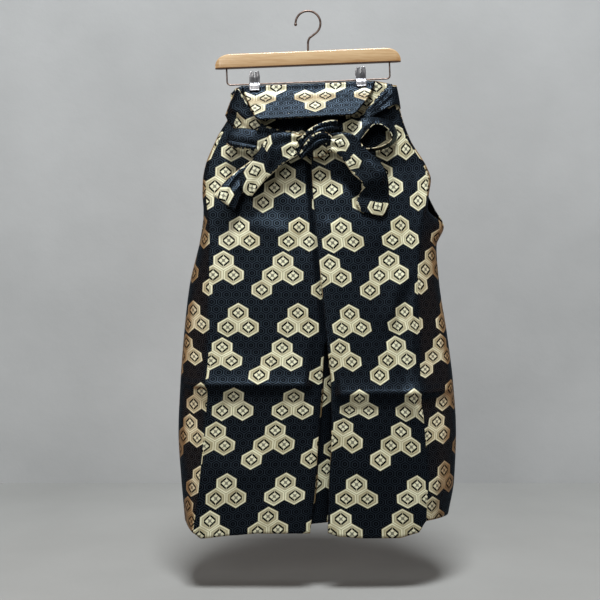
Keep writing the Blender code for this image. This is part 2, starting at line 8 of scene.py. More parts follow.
import logging
import math
from dataclasses import dataclass
from enum import Enum
from itertools import accumulate
from typing import Callable, Dict, List, Sequence, Tuple

import bmesh
import bpy
from bmesh.types import BMesh, BMLayerItem, BMVert
from bpy.types import Material, Mesh, Modifier, Node, NodeSocket as Socket, NodeTree, Object
from bpy.types import bpy_prop_collection as Sockets
from mathutils import Matrix, Vector, noise


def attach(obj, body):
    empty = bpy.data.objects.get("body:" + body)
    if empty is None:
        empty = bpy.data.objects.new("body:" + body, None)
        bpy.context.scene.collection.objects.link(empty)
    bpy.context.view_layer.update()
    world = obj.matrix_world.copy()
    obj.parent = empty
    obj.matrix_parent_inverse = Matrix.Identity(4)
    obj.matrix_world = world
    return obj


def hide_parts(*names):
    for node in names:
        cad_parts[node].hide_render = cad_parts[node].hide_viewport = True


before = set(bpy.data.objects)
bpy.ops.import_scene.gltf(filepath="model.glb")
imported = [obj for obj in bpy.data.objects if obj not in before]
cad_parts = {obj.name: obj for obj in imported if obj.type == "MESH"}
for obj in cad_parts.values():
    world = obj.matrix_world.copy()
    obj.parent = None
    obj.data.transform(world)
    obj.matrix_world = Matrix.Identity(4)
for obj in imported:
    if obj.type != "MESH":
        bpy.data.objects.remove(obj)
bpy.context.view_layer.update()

log = logging.getLogger("hakama")

Point = Tuple[float, float]
Triple = Tuple[float, float, float]
Grid = List[List[Vector]]
Weave = Callable[[int, int], Point]
NUMBER, VECTOR = "NodeSocketFloat", "NodeSocketVector"

# ---------------------------------------------------------------- driving dimensions
CLOTH = 0.0012
BAND_CLOTH = 0.0016
SEAM_GAP = 0.0003
TILT = math.radians(2.3)

BAR_LENGTH, BAR_HEIGHT, BAR_THICK, BAR_FOOT_Z = 0.380, 0.029, 0.014, -0.1098
WIRE, WIRE_SPAN, WIRE_DROP = 0.0032, 0.334, 0.0335

CROTCH_Z = -0.680
PLEAT_UNDER = 0.028
CENTRE_FRONT_IN = 0.020
LEG_GAP = 0.008
PLEAT_DEPTH = 0.018
SWELL, RIPPLE = 0.0013, 0.00032  # how far the broad and the fine unevenness of hung cloth stand out

# The hexagon chart is drawn in its own units. One unit of it is this long on the cloth.
CHART_UNIT = 0.00198
REPEAT_ACROSS, REPEAT_DOWN = 59.7, 86.8
HEX_HALF, HEX_ROW = 10.35, 14.4  # half a large hexagon's width, and the distance between rows of them
# Middles of flowers on the chart, in a group of three and in the group of four below it.
FLOWER_TOP, FLOWER_LEFT, FLOWER_RIGHT = (0.0, 0.0), (-HEX_HALF, HEX_ROW), (HEX_HALF, HEX_ROW)
FOUR_TOP = (-15.8, 34.7)
FOUR_RIGHT = (FOUR_TOP[0] + HEX_HALF, FOUR_TOP[1] + HEX_ROW)
FOUR_LOW = (FOUR_TOP[0] - 2 * HEX_HALF, FOUR_TOP[1] + 2 * HEX_ROW)


# ---------------------------------------------------------------- numbers and curves
def lerp(a: float, b: float, t: float) -> float:
    """The value a share t of the way from a to b."""
    return a + (b - a) * t


def smooth(t: float) -> float:
    """A share from 0 to 1 that starts and ends gently."""
    t = min(max(t, 0.0), 1.0)
    return t * t * (3 - 2 * t)


def metres(rows: Sequence[Sequence[float]]) -> List[Tuple[float, ...]]:
    """Rows of a table of millimetres, in metres."""
    return [tuple(value / 1000 for value in row) for row in rows]


def arc(centre: Point, radius: float, start: float, turn: float, count: int) -> List[Point]:
    """Points on an arc.

    Args:
        centre: middle of the arc.
        radius: its radius.
        start: angle of its first point, in degrees.
        turn: how far it turns, in degrees.
        count: number of steps.

    Returns:
        The points, both ends included.
    """
    angles = [math.radians(start + turn * i / count) for i in range(count + 1)]
    return [(centre[0] + radius * math.cos(a), centre[1] + radius * math.sin(a)) for a in angles]


class Levels:
    """A table of named columns against height, read between its rows by curves that never overshoot."""

    def __init__(self, columns: str, rows: Sequence[Sequence[float]]) -> None:
        """Keep the rows and work out each column's slopes.

        Args:
            columns: the names of the columns after the height.
            rows: height and values, from the top down.
        """
        self.columns = columns.split()
        self.drops = [-row[0] for row in rows]
        self.values = [row[1:] for row in rows]
        self.slopes = [self._slopes([row[i] for row in self.values]) for i in range(len(self.columns))]

    def _slopes(self, values: Sequence[float]) -> List[float]:
        """Slope of one column at each row, flat where it turns back."""
        drops = self.drops
        steps = [(b - a) / (d1 - d0) for a, b, d0, d1 in zip(values, values[1:], drops, drops[1:])]
        inner = [0.0 if a * b <= 0 else 2 * a * b / (a + b) for a, b in zip(steps, steps[1:])]
        return [steps[0]] + inner + [steps[-1]]

    def at(self, z: float) -> Dict[str, float]:
        """Every column's value at a height.

        Args:
            z: the height.

        Returns:
            Values by column name.
        """
        drop = min(max(-z, self.drops[0]), self.drops[-1])
        i = max(k for k, d in enumerate(self.drops[:-1]) if d <= drop)
        span = self.drops[i + 1] - self.drops[i]
        t = (drop - self.drops[i]) / span
        found = {}
        for name, a, b, slopes in zip(self.columns, self.values[i], self.values[i + 1], self.slopes):
            ma, mb = slopes[i] * span, slopes[i + 1] * span
            bend = (2 * t**3 - 3 * t**2 + 1) * a + (t**3 - 2 * t**2 + t) * ma
            found[name] = bend + (3 * t**2 - 2 * t**3) * b + (t**3 - t**2) * mb
        return found


def along(table: Sequence[Point], x: float) -> float:
    """Second value of a table of pairs against the first, level beyond its ends."""
    if x <= table[0][0]:
        return table[0][1]
    for (x0, z0), (x1, z1) in zip(table, table[1:]):
        if x <= x1:
            share = (x - x0) / (x1 - x0)
            return lerp(z0, z1, (smooth(share) + share) / 2)
    return table[-1][1]


def through(points: Sequence[Vector], steps: int) -> List[Vector]:
    """A smooth curve through points.

    Args:
        points: the points.
        steps: pieces between two of them.

    Returns:
        The points of the curve, both ends included.
    """
    padded = [points[0] * 2 - points[1], *points, points[-1] * 2 - points[-2]]
    made = []
    for p0, p1, p2, p3 in zip(padded, padded[1:], padded[2:], padded[3:]):
        for k in range(steps):
            t = k / steps
            made.append(
                0.5 * (2 * p1 + (p2 - p0) * t + (2 * p0 - 5 * p1 + 4 * p2 - p3) * t**2
                       + (3 * p1 - p0 - 3 * p2 + p3) * t**3)
            )
    return made + [points[-1].copy()]


# ---------------------------------------------------------------- folds placed one by one
@dataclass(frozen=True)
class Fold:
    """One soft ridge or trough in cloth, along a line on its surface.

    Places and sizes are in millimetres, in the surface's own two directions. Above is the side to the left of
    the line's run. At both ends the fold fades out over a share of its length.
    """

    line: Tuple[Point, ...]
    height: float
    above: float
    below: float
    sharp: float = 1.6
    fade: float = 0.25

    def rise(self, x: float, z: float) -> float:
        """How far the surface stands out at a point.

        Args:
            x: place across, in metres.
            z: place up, in metres.

        Returns:
            The rise, in metres.
        """
        x, z = 1000 * x, 1000 * z
        best, where, side, run = math.inf, 0.0, 1.0, 0.0
        for (x0, z0), (x1, z1) in zip(self.line, self.line[1:]):
            dx, dz = x1 - x0, z1 - z0
            length = math.hypot(dx, dz)
            t = min(max(((x - x0) * dx + (z - z0) * dz) / length**2, 0.0), 1.0)
            away = math.hypot(x - x0 - dx * t, z - z0 - dz * t)
            if away < best:
                best, where = away, run + t * length
                side = dx * (z - z0) - dz * (x - x0)
            run += length
        width = self.above if side > 0 else self.below
        if best > 3 * width:
            return 0.0
        end = smooth(where / (self.fade * run)) * smooth((run - where) / (self.fade * run))
        return self.height / 1000 * end * math.exp(-((best / width) ** self.sharp))


def ruffle(x: float, z: float, seed: float) -> float:
    """Slight unevenness of hung cloth: broad swells with finer ones on them."""
    broad = noise.noise(Vector((x * 9.0 + seed, z * 6.0, seed)))
    fine = noise.noise(Vector((x * 34.0, z * 26.0, seed + 7.3)))
    return SWELL * broad + RIPPLE * fine


# ---------------------------------------------------------------- shader wiring
class Wiring:
    """Adds nodes to one tree and joins them."""

    # Places of the two values and of the result on a Mix node, by the kind of what it mixes.
    MIXED = {"FLOAT": (2, 3, 0), "VECTOR": (4, 5, 1), "RGBA": (6, 7, 2)}

    def __init__(self, tree: NodeTree) -> None:
        """Keep the tree."""
        self.tree = tree

    def node(self, kind: str, **settings: object) -> Node:
        """Add a node and set its properties."""
        made = self.tree.nodes.new(kind)
        for name, value in settings.items():
            setattr(made, name, value)
        return made

    def feed(self, made: Node, values: Dict[object, object]) -> Node:
        """Join a node's inputs to other sockets, or set their values.

        Args:
            made: the node.
            values: sockets, numbers, vectors or colours, by the input's name or place.

        Returns:
            The node.
        """
        for key, value in values.items():
            socket = made.inputs[key]
            if isinstance(value, Socket):
                self.tree.links.new(value, socket)
            else:
                socket.default_value = (*value, 1.0) if socket.type == "RGBA" else value
        return made

    def math(self, operation: str, *values: object) -> Socket:
        """Result of a Math node on one to three values."""
        return self.feed(self.node("ShaderNodeMath", operation=operation), dict(enumerate(values))).outputs[0]

    def vector(self, operation: str, *values: object) -> Socket:
        """Result of a Vector Math node on one or two vectors."""
        made = self.feed(self.node("ShaderNodeVectorMath", operation=operation), dict(enumerate(values)))
        return made.outputs["Value" if operation in ("LENGTH", "DOT_PRODUCT") else "Vector"]

    def pack(self, x: object, y: object) -> Socket:
        """A vector from two numbers."""
        return self.feed(self.node("ShaderNodeCombineXYZ"), {0: x, 1: y}).outputs[0]

    def unpack(self, value: object) -> Tuple[Socket, Socket]:
        """The first two numbers of a vector."""
        made = self.feed(self.node("ShaderNodeSeparateXYZ"), {0: value})
        return made.outputs[0], made.outputs[1]

    def mix(self, factor: object, a: object, b: object, kind: str = "RGBA", blend: str = "MIX") -> Socket:
        """A colour, number or vector between two, or the second colour laid on the first in another blend."""
        first, second, result = self.MIXED[kind]
        made = self.node("ShaderNodeMix", data_type=kind, blend_type=blend)
        return self.feed(made, {0: factor, first: a, second: b}).outputs[result]

    def ramp(self, value: object, stops: Sequence[Point], blend: str = "LINEAR") -> Socket:
        """A tone read from a ramp of places and tones."""
        made = self.node("ShaderNodeValToRGB")
        made.color_ramp.interpolation = blend
        while len(made.color_ramp.elements) < len(stops):
            made.color_ramp.elements.new(0.5)
        for element, (place, tone) in zip(made.color_ramp.elements, stops):
            element.position = place
            element.color = (tone, tone, tone, 1.0)
        return self.feed(made, {0: value}).outputs[0]

    def below(self, value: object, limit: object) -> Socket:
        """1 where a value is under a limit."""
        return self.math("LESS_THAN", value, limit)

    def noise(self, at: object, scale: float, detail: float = 2.0, rough: float = 0.5) -> Socket:
        """A noise texture's value."""
        values = {"Vector": at, "Scale": scale, "Detail": detail, "Roughness": rough}
        return self.feed(self.node("ShaderNodeTexNoise"), values).outputs[0]

    def shared(self, group: NodeTree, values: Dict[str, object]) -> Sockets:
        """Place a shared effect with this material's values, and give its outputs."""
        return self.feed(self.node("ShaderNodeGroup", node_tree=group), values).outputs

    def bump(self, shader: Node, height: object, strength: float, distance: float) -> None:
        """Raise a shader's surface by a height."""
        values = {"Strength": strength, "Distance": distance, "Height": height}
        self.feed(shader, {"Normal": self.feed(self.node("ShaderNodeBump"), values).outputs[0]})


class Effect:
    """A shader node group that several materials share, with named inputs and outputs."""

    def __init__(self, name: str, inputs: Dict[str, str], outputs: Dict[str, str]) -> None:
        """Start the group, and lay it out.

        Args:
            name: the group's name.
            inputs: socket types by name.
            outputs: socket types by name.
        """
        self.group = bpy.data.node_groups.new(name, "ShaderNodeTree")
        for sockets, side in ((inputs, "INPUT"), (outputs, "OUTPUT")):
            for label, kind in sockets.items():
                self.group.interface.new_socket(name=label, in_out=side, socket_type=kind)
        w = Wiring(self.group)
        w.feed(w.node("NodeGroupOutput"), self.lay_out(w, w.node("NodeGroupInput").outputs))

    def lay_out(self, w: Wiring, given: Sockets) -> Dict[str, Socket]:
        """Wire the effect from what it is given, and name what it puts out."""
        raise NotImplementedError


class Kikko(Effect):
    """The chart of the brocade: groups of three and of four hexagon flowers on nested small hexagons.

    Every size is in chart units, and places are measured from the top flower of a group of three.
    """

    GROUND_HALF, GROUND_ROW, GROUND_SHIFT = 4.975, 7.23, (2.0, 3.6)
    SLOPE = 0.577  # of a hexagon's slanted edges
    FIRST_ROW, FOURS_FROM, LAST_COLUMN = -11.8, 24.55, 26.2  # where a repeat's groups begin and end
    TRIO_MIDDLE, TRIO_REACH, FOURTH_REACH = (0.0, 9.6, 0.0), 15.0, 5.0
    LOZENGE_WIDE, LOZENGE_TALL, LINE_AT, LINE_HALF = 6.7, 5.7, 0.98, 0.19
    EYE, PETAL_GAP, PETALS = 1.5, 0.55, 0.73
    # Each flower's tone differs at random: partly the weave's own, partly painted light and shade.
    GAP_BLACK, PETAL_LIGHT = 0.75, 0.55
    OPEN_FROM, OPEN_TO = 6.0, 0.35  # the lozenge's line is broken at its four corners
    LUSTRE, DULLEST = 0.26, -0.15  # how far flowers differ in tone, and the tone of the darkest one
    RING_RELIEF = 0.12
    # Tones by the share of the way from a hexagon's middle to its edge.
    BANDS = (
        (0.0, 0.42), (0.565, 0.06), (0.615, 0.78), (0.665, 0.08), (0.71, 0.34), (0.785, 0.10), (0.82, 0.92),
        (0.965, 0.03),
    )
    RINGS = (
        (0.0, 0.7), (0.12, 0.7), (0.20, 0.0), (0.42, 0.0), (0.50, 1.0), (0.60, 1.0), (0.68, 0.0), (0.86, 0.0),
        (0.93, 1.0),
    )

    def __init__(self) -> None:
        """Build the group once."""
        outputs = {"Gold": NUMBER, "Shade": NUMBER, "Lines": NUMBER, "Relief": NUMBER}
        super().__init__("Kikko chart", {"Weave": VECTOR, "Bare": NUMBER}, outputs)

    def _cell(self, w: Wiring, x: object, y: object, half: float, row: float) -> Tuple[Socket, Socket]:
        """Nearest centre of a hexagon lattice.

        Args:
            w: the group's wiring.
            x: place across.
            y: place down.
            half: half a hexagon's width.
            row: distance between rows.

        Returns:
            The place within the hexagon, as a vector, and its hexagonal distance from the middle.
        """
        tall = (row + half * self.SLOPE) / 2
        places, reaches = [], []
        for moved_x, moved_y in ((0.0, 0.0), (half, row)):
            across = w.math("WRAP", w.math("SUBTRACT", x, moved_x), half, -half)
            local = w.pack(across, w.math("WRAP", w.math("SUBTRACT", y, moved_y), row, -row))
            ax, ay = w.unpack(w.vector("ABSOLUTE", local))
            slant = w.math("MULTIPLY", w.math("MULTIPLY_ADD", ax, self.SLOPE, ay), half / tall)
            places.append(local)
            reaches.append(w.math("MAXIMUM", ax, slant))
        nearer = w.mix(w.below(reaches[1], reaches[0]), *places, kind="VECTOR")
        return nearer, w.math("MINIMUM", *reaches)

    def _flower(self, w: Wiring, local: Socket) -> Tuple[Socket, Socket]:
        """A flower's black lines and its petals: four petals in a broken lozenge.

        Args:
            w: the group's wiring.
            local: place within the hexagon.

        Returns:
            How black the place is, and how far the petals lighten it.
        """
        ax, ay = w.unpack(w.vector("ABSOLUTE", local))
        wide, tall = w.math("DIVIDE", ax, self.LOZENGE_WIDE), w.math("DIVIDE", ay, self.LOZENGE_TALL)
        lozenge = w.math("ADD", wide, tall)
        line = w.below(w.math("ABSOLUTE", w.math("SUBTRACT", lozenge, self.LINE_AT)), self.LINE_HALF)
        broken = w.math("MULTIPLY", w.below(ax, self.OPEN_FROM), w.math("GREATER_THAN", ax, self.OPEN_TO))
        gap = w.below(w.math("ABSOLUTE", w.math("SUBTRACT", ax, ay)), self.PETAL_GAP)
        gap = w.math("MULTIPLY", gap, w.below(lozenge, self.PETALS - 0.01))
        gap = w.math("MAXIMUM", gap, w.below(w.vector("LENGTH", local), self.EYE))
        gap = w.math("MULTIPLY", gap, self.GAP_BLACK)
        black = w.math("MAXIMUM", w.math("MULTIPLY", line, broken), gap)
        return black, w.math("MULTIPLY", w.below(lozenge, self.PETALS), self.PETAL_LIGHT)

    def lay_out(self, w: Wiring, given: Sockets) -> Dict[str, Socket]:
        """Lay out the whole chart.

        Args:
            w: the group's wiring.
            given: the weave's place, and whether it is bare of flowers.

        Returns:
            Where the gold is, its tone, the lines of the ground, and the relief.
        """
        x, y = w.unpack(w.vector("MULTIPLY", given["Weave"], (1 / CHART_UNIT, 1 / CHART_UNIT, 0.0)))
        # Which of the two groups of hexagons, and the place within its repeat.
        down = w.math("WRAP", y, REPEAT_DOWN + self.FIRST_ROW, self.FIRST_ROW)
        four = w.math("GREATER_THAN", down, self.FOURS_FROM)
        across = w.math("MULTIPLY_ADD", four, -FOUR_TOP[0], x)
        across = w.math("WRAP", across, self.LAST_COLUMN, self.LAST_COLUMN - REPEAT_ACROSS)
        level = w.math("MULTIPLY_ADD", four, -FOUR_TOP[1], down)
        local, hexagon = self._cell(w, across, level, HEX_HALF, HEX_ROW)
        middle = w.vector("SUBTRACT", w.pack(across, level), local)
        trio = w.vector("LENGTH", w.vector("SUBTRACT", middle, self.TRIO_MIDDLE))
        fourth = w.vector("LENGTH", w.vector("SUBTRACT", middle, (-2 * HEX_HALF, 2 * HEX_ROW, 0.0)))
        fourth = w.math("MULTIPLY", w.below(fourth, self.FOURTH_REACH), four)
        body = w.math("MAXIMUM", w.below(trio, self.TRIO_REACH), fourth)
        body = w.math("MULTIPLY", body, w.below(given["Bare"], 0.5))
        # A flower inside three hexagonal bands, each flower with a tone of its own, partly the weave's and
        # partly painted light and shade.
        black, petals = self._flower(w, local)
        bands = w.ramp(w.math("DIVIDE", hexagon, HEX_HALF), self.BANDS, "CONSTANT")
        repeat = w.pack(w.math("SUBTRACT", x, across), w.math("SUBTRACT", y, down))
        own = w.node("ShaderNodeTexWhiteNoise", noise_dimensions="2D")
        w.feed(own, {"Vector": w.vector("ADD", middle, repeat)})
        tone_and_painted_shade = w.math("MULTIPLY_ADD", own.outputs["Value"], self.LUSTRE, self.DULLEST)
        # The ground: rings of small hexagons.
        shifted = [w.math("ADD", place, shift) for place, shift in zip((x, y), self.GROUND_SHIFT)]
        _, small = self._cell(w, *shifted, self.GROUND_HALF, self.GROUND_ROW)
        lines = w.ramp(w.math("DIVIDE", small, self.GROUND_HALF), self.RINGS)
        gold = w.math("MULTIPLY", body, w.math("SUBTRACT", 1.0, black))
        return {
            "Gold": gold,
            "Shade": w.math("ADD", w.math("ADD", bands, petals), tone_and_painted_shade),
            "Lines": w.math("MULTIPLY", lines, w.math("SUBTRACT", 1.0, body)),
            "Relief": w.math("MULTIPLY_ADD", lines, self.RING_RELIEF, gold),
        }


class Threads(Effect):
    """Fine ribs of warp and weft, with slubs that come and go."""

    WEFT_SHARE = 1.7
    SLUB = (90.0, 900.0, 1.0)

    def __init__(self) -> None:
        """Build the group once."""
        super().__init__("Threads", {"Weave": VECTOR, "Pitch": NUMBER}, {"Height": NUMBER, "Slub": NUMBER})

    def lay_out(self, w: Wiring, given: Sockets) -> Dict[str, Socket]:
        """Lay the weft over the warp, and the slubs over both.

        Args:
            w: the group's wiring.
            given: the weave's place, and the pitch of its warp.

        Returns:
            The relief of the threads, and the slubs alone.
        """
        x, y = w.unpack(given["Weave"])
        turn = w.math("DIVIDE", 2 * math.pi, given["Pitch"])
        warp = w.math("SINE", w.math("MULTIPLY", x, turn))
        weft = w.math("SINE", w.math("MULTIPLY", y, w.math("MULTIPLY", turn, self.WEFT_SHARE)))
        slub = w.noise(w.vector("MULTIPLY", given["Weave"], self.SLUB), 1.0, 3.0)
        return {"Height": w.math("ADD", w.math("MULTIPLY", warp, weft), slub), "Slub": slub}


class Smudge(Effect):
    """Faint handling marks that vary a polished surface's gloss."""

    SCRATCH = (60.0, 900.0, 900.0)

    def __init__(self) -> None:
        """Build the group once."""
        inputs = {"Place": VECTOR, "Low": NUMBER, "High": NUMBER}
        super().__init__("Handling marks", inputs, {"Roughness": NUMBER, "Height": NUMBER})

    def lay_out(self, w: Wiring, given: Sockets) -> Dict[str, Socket]:
        """Lay clouds of gloss and fine scratches.

        Args:
            w: the group's wiring.
            given: the place, and the least and the greatest roughness.

        Returns:
            The roughness, and the scratches' height.
        """
        cloud = w.noise(given["Place"], 90.0, 4.0, 0.6)
        scratch = w.noise(w.vector("MULTIPLY", given["Place"], self.SCRATCH), 1.0, 2.0)
        return {"Roughness": w.mix(cloud, given["Low"], given["High"], "FLOAT"), "Height": scratch}


# ---------------------------------------------------------------- finishes
def new_material(name: str) -> Tuple[Material, Wiring, Node]:
    """Start a material, and give its wiring and its shader with it."""
    made = bpy.data.materials.new(name)
    made.use_nodes = True
    return made, Wiring(made.node_tree), made.node_tree.nodes["Principled BSDF"]


@dataclass(frozen=True)
class BrocadeFinish:
    """Black and navy silk brocade with gold thread, or its wrong side."""

    name: str = "brocade"
    deep: Triple = (0.0014, 0.0016, 0.0024)
    line: Triple = (0.031, 0.043, 0.058)
    silk: float = 0.90
    tan: Triple = (0.31, 0.262, 0.135)
    cream: Triple = (0.80, 0.79, 0.58)
    # Painted reflection: the gold thread takes a warm reddish tint where a face is seen at a glancing angle,
    # standing in for a warm reflection.
    painted_reflection_copper: Triple = (0.46, 0.31, 0.20)
    painted_reflection_facing: Tuple[Point, ...] = ((0.31, 0.0), (0.46, 1.0))
    metal: float = 0.18
    gloss: float = 0.37
    sheen: float = 0.80
    specular: float = 0.04
    tint: Triple = (0.66, 0.84, 1.0)
    relief: float = 0.55
    relief_depth: float = 0.00045
    thread_relief: float = 0.16
    selvedge: float = 0.0016
    pitch: float = 0.0011
    # Clouds of noise, by their fineness, their strength and what is added: the selvedge's wear, and the
    # painted glints and shade that make the gold's shine uneven.
    wear: Triple = (90.0, 0.0220, -0.0115)
    painted_glints_and_shade: Triple = (38.0, 1.5, 0.22)

    def build(self, chart: Kikko, threads: Threads) -> Material:
        """Make the material.

        Args:
            chart: the hexagon chart.
            threads: the fine weave.

        Returns:
            The material.
        """
        made, w, shader = new_material(self.name)
        place = w.node("ShaderNodeUVMap", uv_map="weave").outputs[0]
        away, bare = w.unpack(w.node("ShaderNodeUVMap", uv_map="selvedge").outputs[0])
        motif = w.shared(chart.group, {"Weave": place, "Bare": bare})
        fine = w.shared(threads.group, {"Weave": place, "Pitch": self.pitch})
        fineness, strength, added = self.wear
        worn = w.math("MULTIPLY_ADD", w.noise(place, fineness, 3.0), strength, self.selvedge + added)
        gold = w.math("MAXIMUM", motif["Gold"], w.below(away, worn))
        fineness, strength, added = self.painted_glints_and_shade
        # Painted glints and shade: noise brightens some parts of the gold and darkens others.
        painted_glints_and_shade = w.math("MULTIPLY_ADD", w.noise(place, fineness, 3.0), strength, added)
        thread = w.mix(w.math("MULTIPLY", motif["Shade"], painted_glints_and_shade), self.tan, self.cream)
        # Painted reflection: a warm tint laid on the gold where the cloth is seen at a glancing angle.
        painted_reflection_facing = w.ramp(w.node("ShaderNodeLayerWeight").outputs["Facing"], self.painted_reflection_facing)
        thread = w.mix(painted_reflection_facing, thread, self.painted_reflection_copper, blend="MULTIPLY")
        ground = w.mix(motif["Lines"], self.deep, self.line)
        silk = w.math("MULTIPLY", motif["Lines"], w.math("SUBTRACT", 1.0, gold))
        rough_ground = w.math("MULTIPLY_ADD", motif["Lines"], -0.04, self.gloss + 0.02)
        rough_gold = w.math("MULTIPLY_ADD", fine["Slub"], 0.22, self.gloss + 0.14)
        w.feed(shader, {
            "Base Color": w.mix(gold, ground, thread),
            "Metallic": w.math("MULTIPLY_ADD", gold, self.metal, w.math("MULTIPLY", silk, self.silk)),
            "Roughness": w.mix(gold, rough_ground, rough_gold, "FLOAT"),
            "Specular IOR Level": self.specular,
            "Specular Tint": self.tint,
            "Coat Weight": w.math("MULTIPLY", gold, self.sheen),
            "Coat Roughness": self.gloss,
        })
        height = w.math("MULTIPLY_ADD", fine["Height"], self.thread_relief, motif["Relief"])
        w.bump(shader, height, self.relief, self.relief_depth)
        return made


@dataclass(frozen=True)
class WoodFinish:
    """Clear-lacquered maple with its grain along the bar, with painted shade making it darker towards its
    underside.
    """

    name: str = "maple"
    light: Triple = (0.74, 0.54, 0.31)
    dark: Triple = (0.42, 0.22, 0.080)
    stretch: Triple = (6.0, 60.0, 110.0)
    pore: Triple = (40.0, 900.0, 1400.0)
    ring: Point = (26.0, 0.22)  # how close the year rings lie, and how strong they are
    # Painted shade: how fast the wood darkens below a height of middle over the bar's foot.
    painted_shade_rate: float = 26.0
    middle: float = 0.017
    gloss: Point = (0.30, 0.46)
    coat: float = 0.55
    coat_gloss: float = 0.16

    def build(self, smudge: Smudge) -> Material:
        """Make the material.

        Args:
            smudge: the handling marks.

        Returns:
            The material.
        """
        made, w, shader = new_material(self.name)
        place = w.node("ShaderNodeTexCoord").outputs["Object"]
        rings = w.noise(w.vector("MULTIPLY", place, self.stretch), 1.0, 4.0, 0.6)
        pores = w.noise(w.vector("MULTIPLY", place, self.pore), 1.0, 2.0)
        close, strong = self.ring
        bands = w.math("MULTIPLY_ADD", w.math("SINE", w.math("MULTIPLY", rings, close)), strong, rings)
        tone = w.math("MULTIPLY_ADD", pores, 0.25, w.math("MULTIPLY", bands, 0.55))
        # Painted shade: darker towards the bar's underside.
        height = w.vector("DOT_PRODUCT", place, (-math.sin(TILT), 0.0, math.cos(TILT)))
        low = w.math("MULTIPLY_ADD", height, -self.painted_shade_rate, self.painted_shade_rate * (self.middle + BAR_FOOT_Z))
        tone = w.math("ADD", tone, w.math("MAXIMUM", low, 0.0))
        marks = w.shared(smudge.group, {"Place": place, "Low": self.gloss[0], "High": self.gloss[1]})
        w.feed(shader, {
            "Base Color": w.mix(tone, self.light, self.dark),
            "Roughness": marks["Roughness"],
            "Coat Weight": self.coat,
            "Coat Roughness": self.coat_gloss,
        })
        w.bump(shader, pores, 0.25, 0.0003)
        return made


@dataclass(frozen=True)
class MetalFinish:
    """Polished metal with handling marks."""

    name: str
    colour: Triple
    tarnish: Triple
    metal: float
    low: float
    high: float
    streak: Triple = (140.0, 140.0, 140.0)
    contrast: Tuple[Point, ...] = ((0.38, 0.0), (0.62, 1.0))

    def build(self, smudge: Smudge) -> Material:
        """Make the material.

        Args:
            smudge: the handling marks.

        Returns:
            The material.
        """
        made, w, shader = new_material(self.name)
        place = w.node("ShaderNodeTexCoord").outputs["Object"]
        cloud = w.ramp(w.noise(w.vector("MULTIPLY", place, self.streak), 1.0, 4.0, 0.6), self.contrast)
        marks = w.shared(smudge.group, {"Place": place, "Low": self.low, "High": self.high})
        w.feed(shader, {
            "Base Color": w.mix(cloud, self.colour, self.tarnish),
            "Metallic": self.metal,
            "Roughness": marks["Roughness"],
        })
        w.bump(shader, marks["Height"], 0.15, 0.0001)
        return made


class Palette:
    """Every finish of the object, each built once."""

    def __init__(self) -> None:
        """Build the node groups and the materials."""
        chart, threads, smudge = Kikko(), Threads(), Smudge()
        self.brocade = BrocadeFinish().build(chart, threads)
        self.reverse = BrocadeFinish(
            name="brocade_reverse", deep=(0.012, 0.011, 0.013), line=(0.030, 0.032, 0.040),
            tan=(0.16, 0.105, 0.055), cream=(0.30, 0.22, 0.13), metal=0.35, gloss=0.5, relief=0.9,
        ).build(chart, threads)
        self.maple = WoodFinish().build(smudge)
        # A darker copy of the maple for the bar's underside: painted shade.
        self.maple_painted_underside_shade = WoodFinish(
            name="maple_painted_underside_shade", light=(0.30, 0.15, 0.06), dark=(0.14, 0.06, 0.022), coat=0.3,
        ).build(smudge)
        self.steel = MetalFinish(
            "nickel", (0.62, 0.62, 0.65), (0.27, 0.27, 0.29), 0.85, 0.24, 0.40, streak=(220.0, 220.0, 20.0),
        ).build(smudge)
        self.wire = MetalFinish(
            "warm_nickel", (0.27, 0.20, 0.17), (0.13, 0.09, 0.075), 0.80, 0.30, 0.50,
        ).build(smudge)


# ---------------------------------------------------------------- pieces
class Held(Enum):
    """How a sheet of cloth is held."""

    HUNG = "hung"
    FOLDED = "folded"


@dataclass(frozen=True)
class Cut:
    """The flat size of a sheet, and how it is held."""

    width: float
    length: float
    held: Held
    rests_on: Tuple[str, ...]


def brocade_layers(builder: BMesh) -> Tuple[BMLayerItem, BMLayerItem]:
    """The two layers that the brocade reads: the weave's place, and the selvedge's with what is bare."""
    return builder.loops.layers.uv.new("weave"), builder.loops.layers.uv.new("selvedge")


def skin(builder: BMesh, rings: Sequence[Sequence[BMVert]]) -> None:
    """Join rings of points by faces, and close both ends."""
    for first, second in zip(rings, rings[1:]):
        for k in range(len(first)):
            q = (k + 1) % len(first)
            builder.faces.new((first[k], second[k], second[q], first[q]))
    builder.faces.new(rings[0])
    builder.faces.new(list(reversed(rings[-1])))


def finish_mesh(builder: BMesh, name: str, turn_out: bool = True) -> Mesh:
    """Smooth a surface and keep it as a mesh.

    Args:
        builder: the surface, which is freed.
        name: the mesh's name.
        turn_out: whether its faces are turned outwards first.

    Returns:
        The mesh.
    """
    for face in builder.faces:
        face.smooth = True
    if turn_out:
        bmesh.ops.recalc_face_normals(builder, faces=builder.faces)
    mesh = bpy.data.meshes.new(name)
    builder.to_mesh(mesh)
    builder.free()
    return mesh


def mesh_object(mesh: Mesh, *finishes: Material) -> Object:
    """Link a mesh to the scene under its own name, with its materials."""
    made = bpy.data.objects.new(mesh.name, mesh)
    for finish in finishes:
        mesh.materials.append(finish)
    bpy.context.scene.collection.objects.link(made)
    return made


def thicken(piece: Object, thickness: float) -> Modifier:
    """Give a sheet its thickness, half of it on either side."""
    solid = piece.modifiers.new("thickness", "SOLIDIFY")
    solid.thickness = thickness
    solid.offset = 0.0
    return solid


def settle(piece: Object, slot: str, *nodes: str) -> Object:
    """Fix a piece to the body, and let it stand for CAD nodes, which it hides."""
    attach(piece, "root")
    if nodes:
        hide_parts(*nodes)
    log.info("%s: %d faces, %s", piece.name, len(piece.data.polygons), ", ".join(nodes))
    return piece


def no_selvedge(row: int, column: int) -> float:
    """Distance that stands for a sheet whose selvedge doesn't show."""
    return 1.0


def patterned(row: int, column: int) -> bool:
    """Whether a cell is bare of flowers, for a sheet that has them all over."""
    return False


